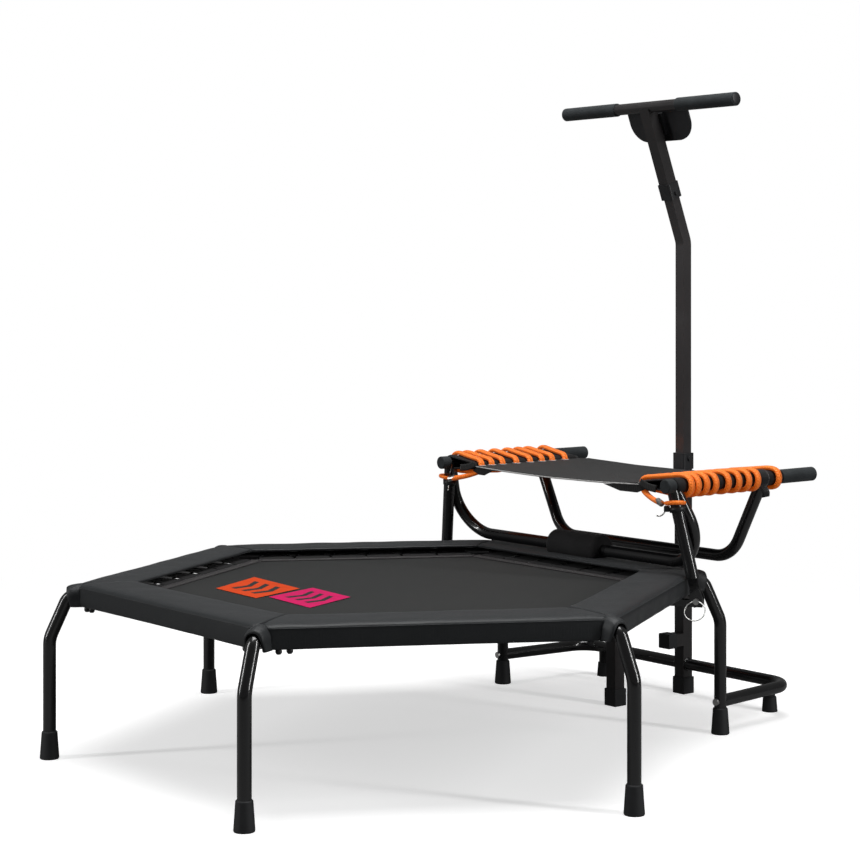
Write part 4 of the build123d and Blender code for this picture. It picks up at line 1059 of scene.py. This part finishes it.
# strap of loop pile round the right-hand cover
STRAP_Y, STRAP_HALF, STRAP_ROWS = 0.6905, 0.0125, 7
vs = []
for grow in (0.0012, 0.0028):
    ring = cover_outline(grow)
    for r in np.linspace(-1, 1, STRAP_ROWS):
        for x, z in ring:
            slack = 0.0006 * noise.noise((x * 60, r * 2, z * 60))
            vs.append((x, STRAP_Y + r * STRAP_HALF + (x - 0.3) * 0.05, z + slack))
layer = STRAP_ROWS * OUTLINE_PER
under = ring_faces(STRAP_ROWS, OUTLINE_PER)
fs = under + [tuple(layer + v for v in f) for f in under]
for a in (0, layer - OUTLINE_PER):
    for j in range(OUTLINE_PER):
        after = a + (j + 1) % OUTLINE_PER
        fs.append((a + j, after, layer + after, layer + a + j))
belongs(fix_normals(make("cover_strap_right", vs, fs, STRAP)))
tail = smooth_line([(0.371, 0.688, 0.5070), (0.378, 0.688, 0.5005), (0.3800, 0.6885, 0.4925),
                    (0.3775, 0.689, 0.4860)], 0.002)
belongs(ribbon("cover_strap_tail_right", tail, (0, 1, 0), 0.011, STRAP, 0.0016))

# loop of cord round the top of each upright, its black clamp, and the small wire hook under it
CLAMP_R = 0.0146
CLAMP_PROFILE = np.array([(-0.0055, 0.0), (-0.0055, 0.0022), (0.0055, 0.0022), (0.0055, 0.0)])
for sign, side in SIDES:
    ring = [(sign * (0.3575 + 0.0182 * cos(a)), 0.4395 + 0.019125 * sin(a), 0.4885 + 0.003 * cos(a + 0.6))
            for a in round_angles(14)]
    belongs(tube(f"upright_cord_loop_{side}", ring, 0.0042, CORD, 0.0024, 12, closed=True))
    collar = [(sign * (0.3598 + CLAMP_R * cos(a)), 0.4445 + CLAMP_R * sin(a), 0.4755 + 0.0024 * cos(a))
              for a in round_angles(40)]
    belongs(sweep(f"upright_clamp_{side}", collar, CLAMP_PROFILE, PLASTIC, closed=True))
    lug = block(f"upright_clamp_lug_{side}", (sign * 0.3440, 0.4300, 0.4765), (0.012, 0.012, 0.012), PLASTIC,
                Matrix.Rotation(radians(40 * sign), 3, "Z"), 0.0025)
    belongs(lug)
    hook = tube(f"upright_hook_{side}", [(sign * x, y, z) for x, y, z in (
        (0.3420, 0.4275, 0.4725), (0.3400, 0.4250, 0.4665), (0.3365, 0.4215, 0.4625),
        (0.3320, 0.4175, 0.4610), (0.3290, 0.4150, 0.4632))], 0.0015, ZINC, 0.0015, 10)
    belongs(hook)

# ---- foam roll on the front crossbar ----
ROLL_X = 0.007  # the roll sits a little off the middle of the crossbar
ROLL_Y, ROLL_Z = 0.506, 0.3595
ROLL_R, ROLL_HALF = 0.0327, 0.0748
ROLL_FLAT_Z = 0.3444  # flat underneath, just above the rim pad
ROLL_PER, ROLL_COLS = 64, 40
vs = []
for x in np.linspace(-ROLL_HALF, ROLL_HALF, ROLL_COLS + 1) + ROLL_X:
    edge = min(1.0, (ROLL_HALF - abs(x - ROLL_X)) / 0.006)
    radius = ROLL_R * (0.86 + 0.14 * (1 - (1 - edge) ** 2) ** 0.5)
    for j in range(ROLL_PER):
        a = 2 * pi * j / ROLL_PER
        y, z = radius * cos(a), radius * sin(a)
        wob = 0.0004 * noise.noise((x * 30, y * 40, z * 40))
        z = max(ROLL_Z + z + wob, ROLL_FLAT_Z + 0.0006 * (1 - abs(cos(a))))
        vs.append((x, ROLL_Y + y * (1 + wob * 20), z))
fs = ring_faces(ROLL_COLS + 1, ROLL_PER) + end_faces(ROLL_COLS + 1, ROLL_PER)
roll = fix_normals(make("foam_roll_soft", vs, fs, ROLL))
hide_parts("foam_roll")
belongs(roll)


# ---- small frame details ----
def weld_profile(i):
    """Section of a weld bead, a little thicker and thinner in turn."""
    return circle(0.0016 * (1 + 0.16 * sin(i * 1.9)), 8)


def weld(name, centre, axis, radius, saddle=0.0):
    """A ring of weld bead round a tube; on another tube it is bent like a saddle."""
    q = Vector(axis).normalized().to_track_quat("Z", "Y").to_matrix()
    pts = [tuple(Vector(centre) + q @ Vector((radius * cos(a), radius * sin(a), saddle * cos(2 * a))))
           for a in round_angles(48)]
    belongs(sweep(name, np.array(pts), weld_profile, GLOSS, closed=True))


for sign, side in SIDES:
    weld(f"weld_rear_hoop_{side}", (sign * 0.3463, 0.7108, 0.5085), (sign * 0.4, 0, 1), 0.0125, 0.002)
    weld(f"weld_foot_{side}", (sign * 0.258, 0.838, 0.0580), (0, 0, 1), 0.0125, -0.002)
weld("weld_base_post_left", (-0.0152, 0.838, 0.067), (1, 0, 0), 0.0132)
weld("weld_base_post_right", (0.0152, 0.838, 0.067), (1, 0, 0), 0.0132)

BOLT_HEAD = [(0.0002, -0.0010), (0.0040, -0.0008), (0.0052, 0.0), (0.0052, 0.0030), (0.0046, 0.0036)]
belongs(lathe("roll_bolt", BOLT_HEAD, (0, 0.708, 0.3308), (0, 0, 1), ZINC, 24))

# domed plugs in the ends of the handlebar, clear of the foam
lo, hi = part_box("handlebar")
cy, cz = (lo[1] + hi[1]) / 2, (lo[2] + hi[2]) / 2
DOME = [(0.0128, -0.003), (0.0128, -0.0004), (0.0120, 0.0006), (0.0090, 0.0014), (0.0003, 0.0018)]
for sign, side in SIDES:
    gl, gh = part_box(f"handlebar_grip_{side}")
    end = (sign * max(abs(gl[0]), abs(gh[0])), cy, cz)
    belongs(lathe(f"grip_end_{side}", DOME, end, (sign, 0, 0), PLASTIC, 32), "t_bar")

# ---- camera, floor and light ----
FOCAL_PX = 2013.0  # focal length, in pixels of the 860 x 860 picture
PICTURE_PX = 860
HORIZON_Y = 285
SENSOR_MM = 36
cam = bpy.data.cameras.new("Camera")
cam.sensor_width = SENSOR_MM
cam.lens = FOCAL_PX / PICTURE_PX * SENSOR_MM
cam.shift_y = -(PICTURE_PX / 2 - HORIZON_Y) / PICTURE_PX
cam.clip_start = 0.1
cam_obj = placed("Camera", cam)
cam_obj.location = (3.191, -2.505, 0.928)
cam_obj.rotation_euler = (radians(90), 0, radians(50.84))
bpy.context.scene.camera = cam_obj


def added(tree, kind, links=(), **values):
    """A new node: values by socket name, and links as (output, input) pairs."""
    n = tree.nodes.new(kind)
    for key, value in values.items():
        n.inputs[key.replace("_", " ")].default_value = value
    for output, name in links:
        tree.links.new(output, n.inputs[name])
    return n


def camera_or(tree, other, seen, output):
    """Shows `seen` to the camera and `other` to every other ray."""
    ray = tree.nodes.new("ShaderNodeLightPath").outputs["Is Camera Ray"]
    mix = added(tree, "ShaderNodeMixShader", [(ray, 0), (other.outputs[0], 1), (seen.outputs[0], 2)])
    tree.links.new(mix.outputs[0], tree.nodes[output].inputs["Surface"])


WHITE = (1, 1, 1, 1)
floor = make("floor", [(-30, -30, 0), (30, -30, 0), (30, 30, 0), (-30, 30, 0)], [(0, 1, 2, 3)], smooth=False)
ground = bpy.data.materials.new("floor")
ground.use_nodes = True
tree = ground.node_tree
pale = tree.nodes["Principled BSDF"]
for key, value in (("Base Color", (0.80, 0.80, 0.80, 1)), ("Roughness", 0.9), ("Specular IOR Level", 0.1),
                   ("Emission Color", WHITE), ("Emission Strength", 0.55)):
    pale.inputs[key].default_value = value
# the floor turns plain white with distance, so that it has no horizon
far = added(tree, "ShaderNodeEmission", Color=WHITE, Strength=1.0)
away = tree.nodes.new("ShaderNodeVectorMath")
away.operation = "LENGTH"
tree.links.new(tree.nodes.new("ShaderNodeTexCoord").outputs["Object"], away.inputs[0])
fade = added(tree, "ShaderNodeMapRange", [(away.outputs["Value"], "Value")], From_Min=0.9, From_Max=2.6)
fade.interpolation_type = "SMOOTHSTEP"
shown = added(tree, "ShaderNodeMixShader",
              [(fade.outputs["Result"], 0), (pale.outputs[0], 1), (far.outputs[0], 2)])
dim = added(tree, "ShaderNodeBsdfDiffuse", Color=(0.20, 0.20, 0.20, 1))
camera_or(tree, dim, shown, "Material Output")
floor.data.materials.append(ground)

# the studio is pale to look at and dim in reflections, so black paint stays black
world = bpy.data.worlds.new("World")
bpy.context.scene.world = world
world.use_nodes = True
tree = world.node_tree
dark = tree.nodes["Background"]
dark.inputs["Color"].default_value = WHITE
dark.inputs["Strength"].default_value = 0.10
camera_or(tree, dark, added(tree, "ShaderNodeBackground", Color=WHITE, Strength=1.0), "World Output")


def area(name, place, aim, size, power, tall=None):
    light = bpy.data.lights.new(name, "AREA")
    light.shape = "RECTANGLE"
    light.size = size
    light.size_y = tall or size
    light.energy = power
    obj = placed(name, light)
    obj.location = place
    obj.rotation_euler = (Vector(aim) - Vector(place)).to_track_quat("-Z", "Y").to_euler()


area("key_strip", (3.6, 1.6, 2.0), (0, 0, 0.5), 0.30, 70, 3.2)
area("fill_strip", (-1.6, -3.6, 2.0), (0, 0, 0.5), 0.30, 60, 3.2)
area("top", (0.2, 0.0, 3.6), (0.0, 0.1, 0.3), 2.4, 115)
view = bpy.context.scene.view_settings
view.view_transform = "Standard"
view.look = "None"
view.exposure = 0.0
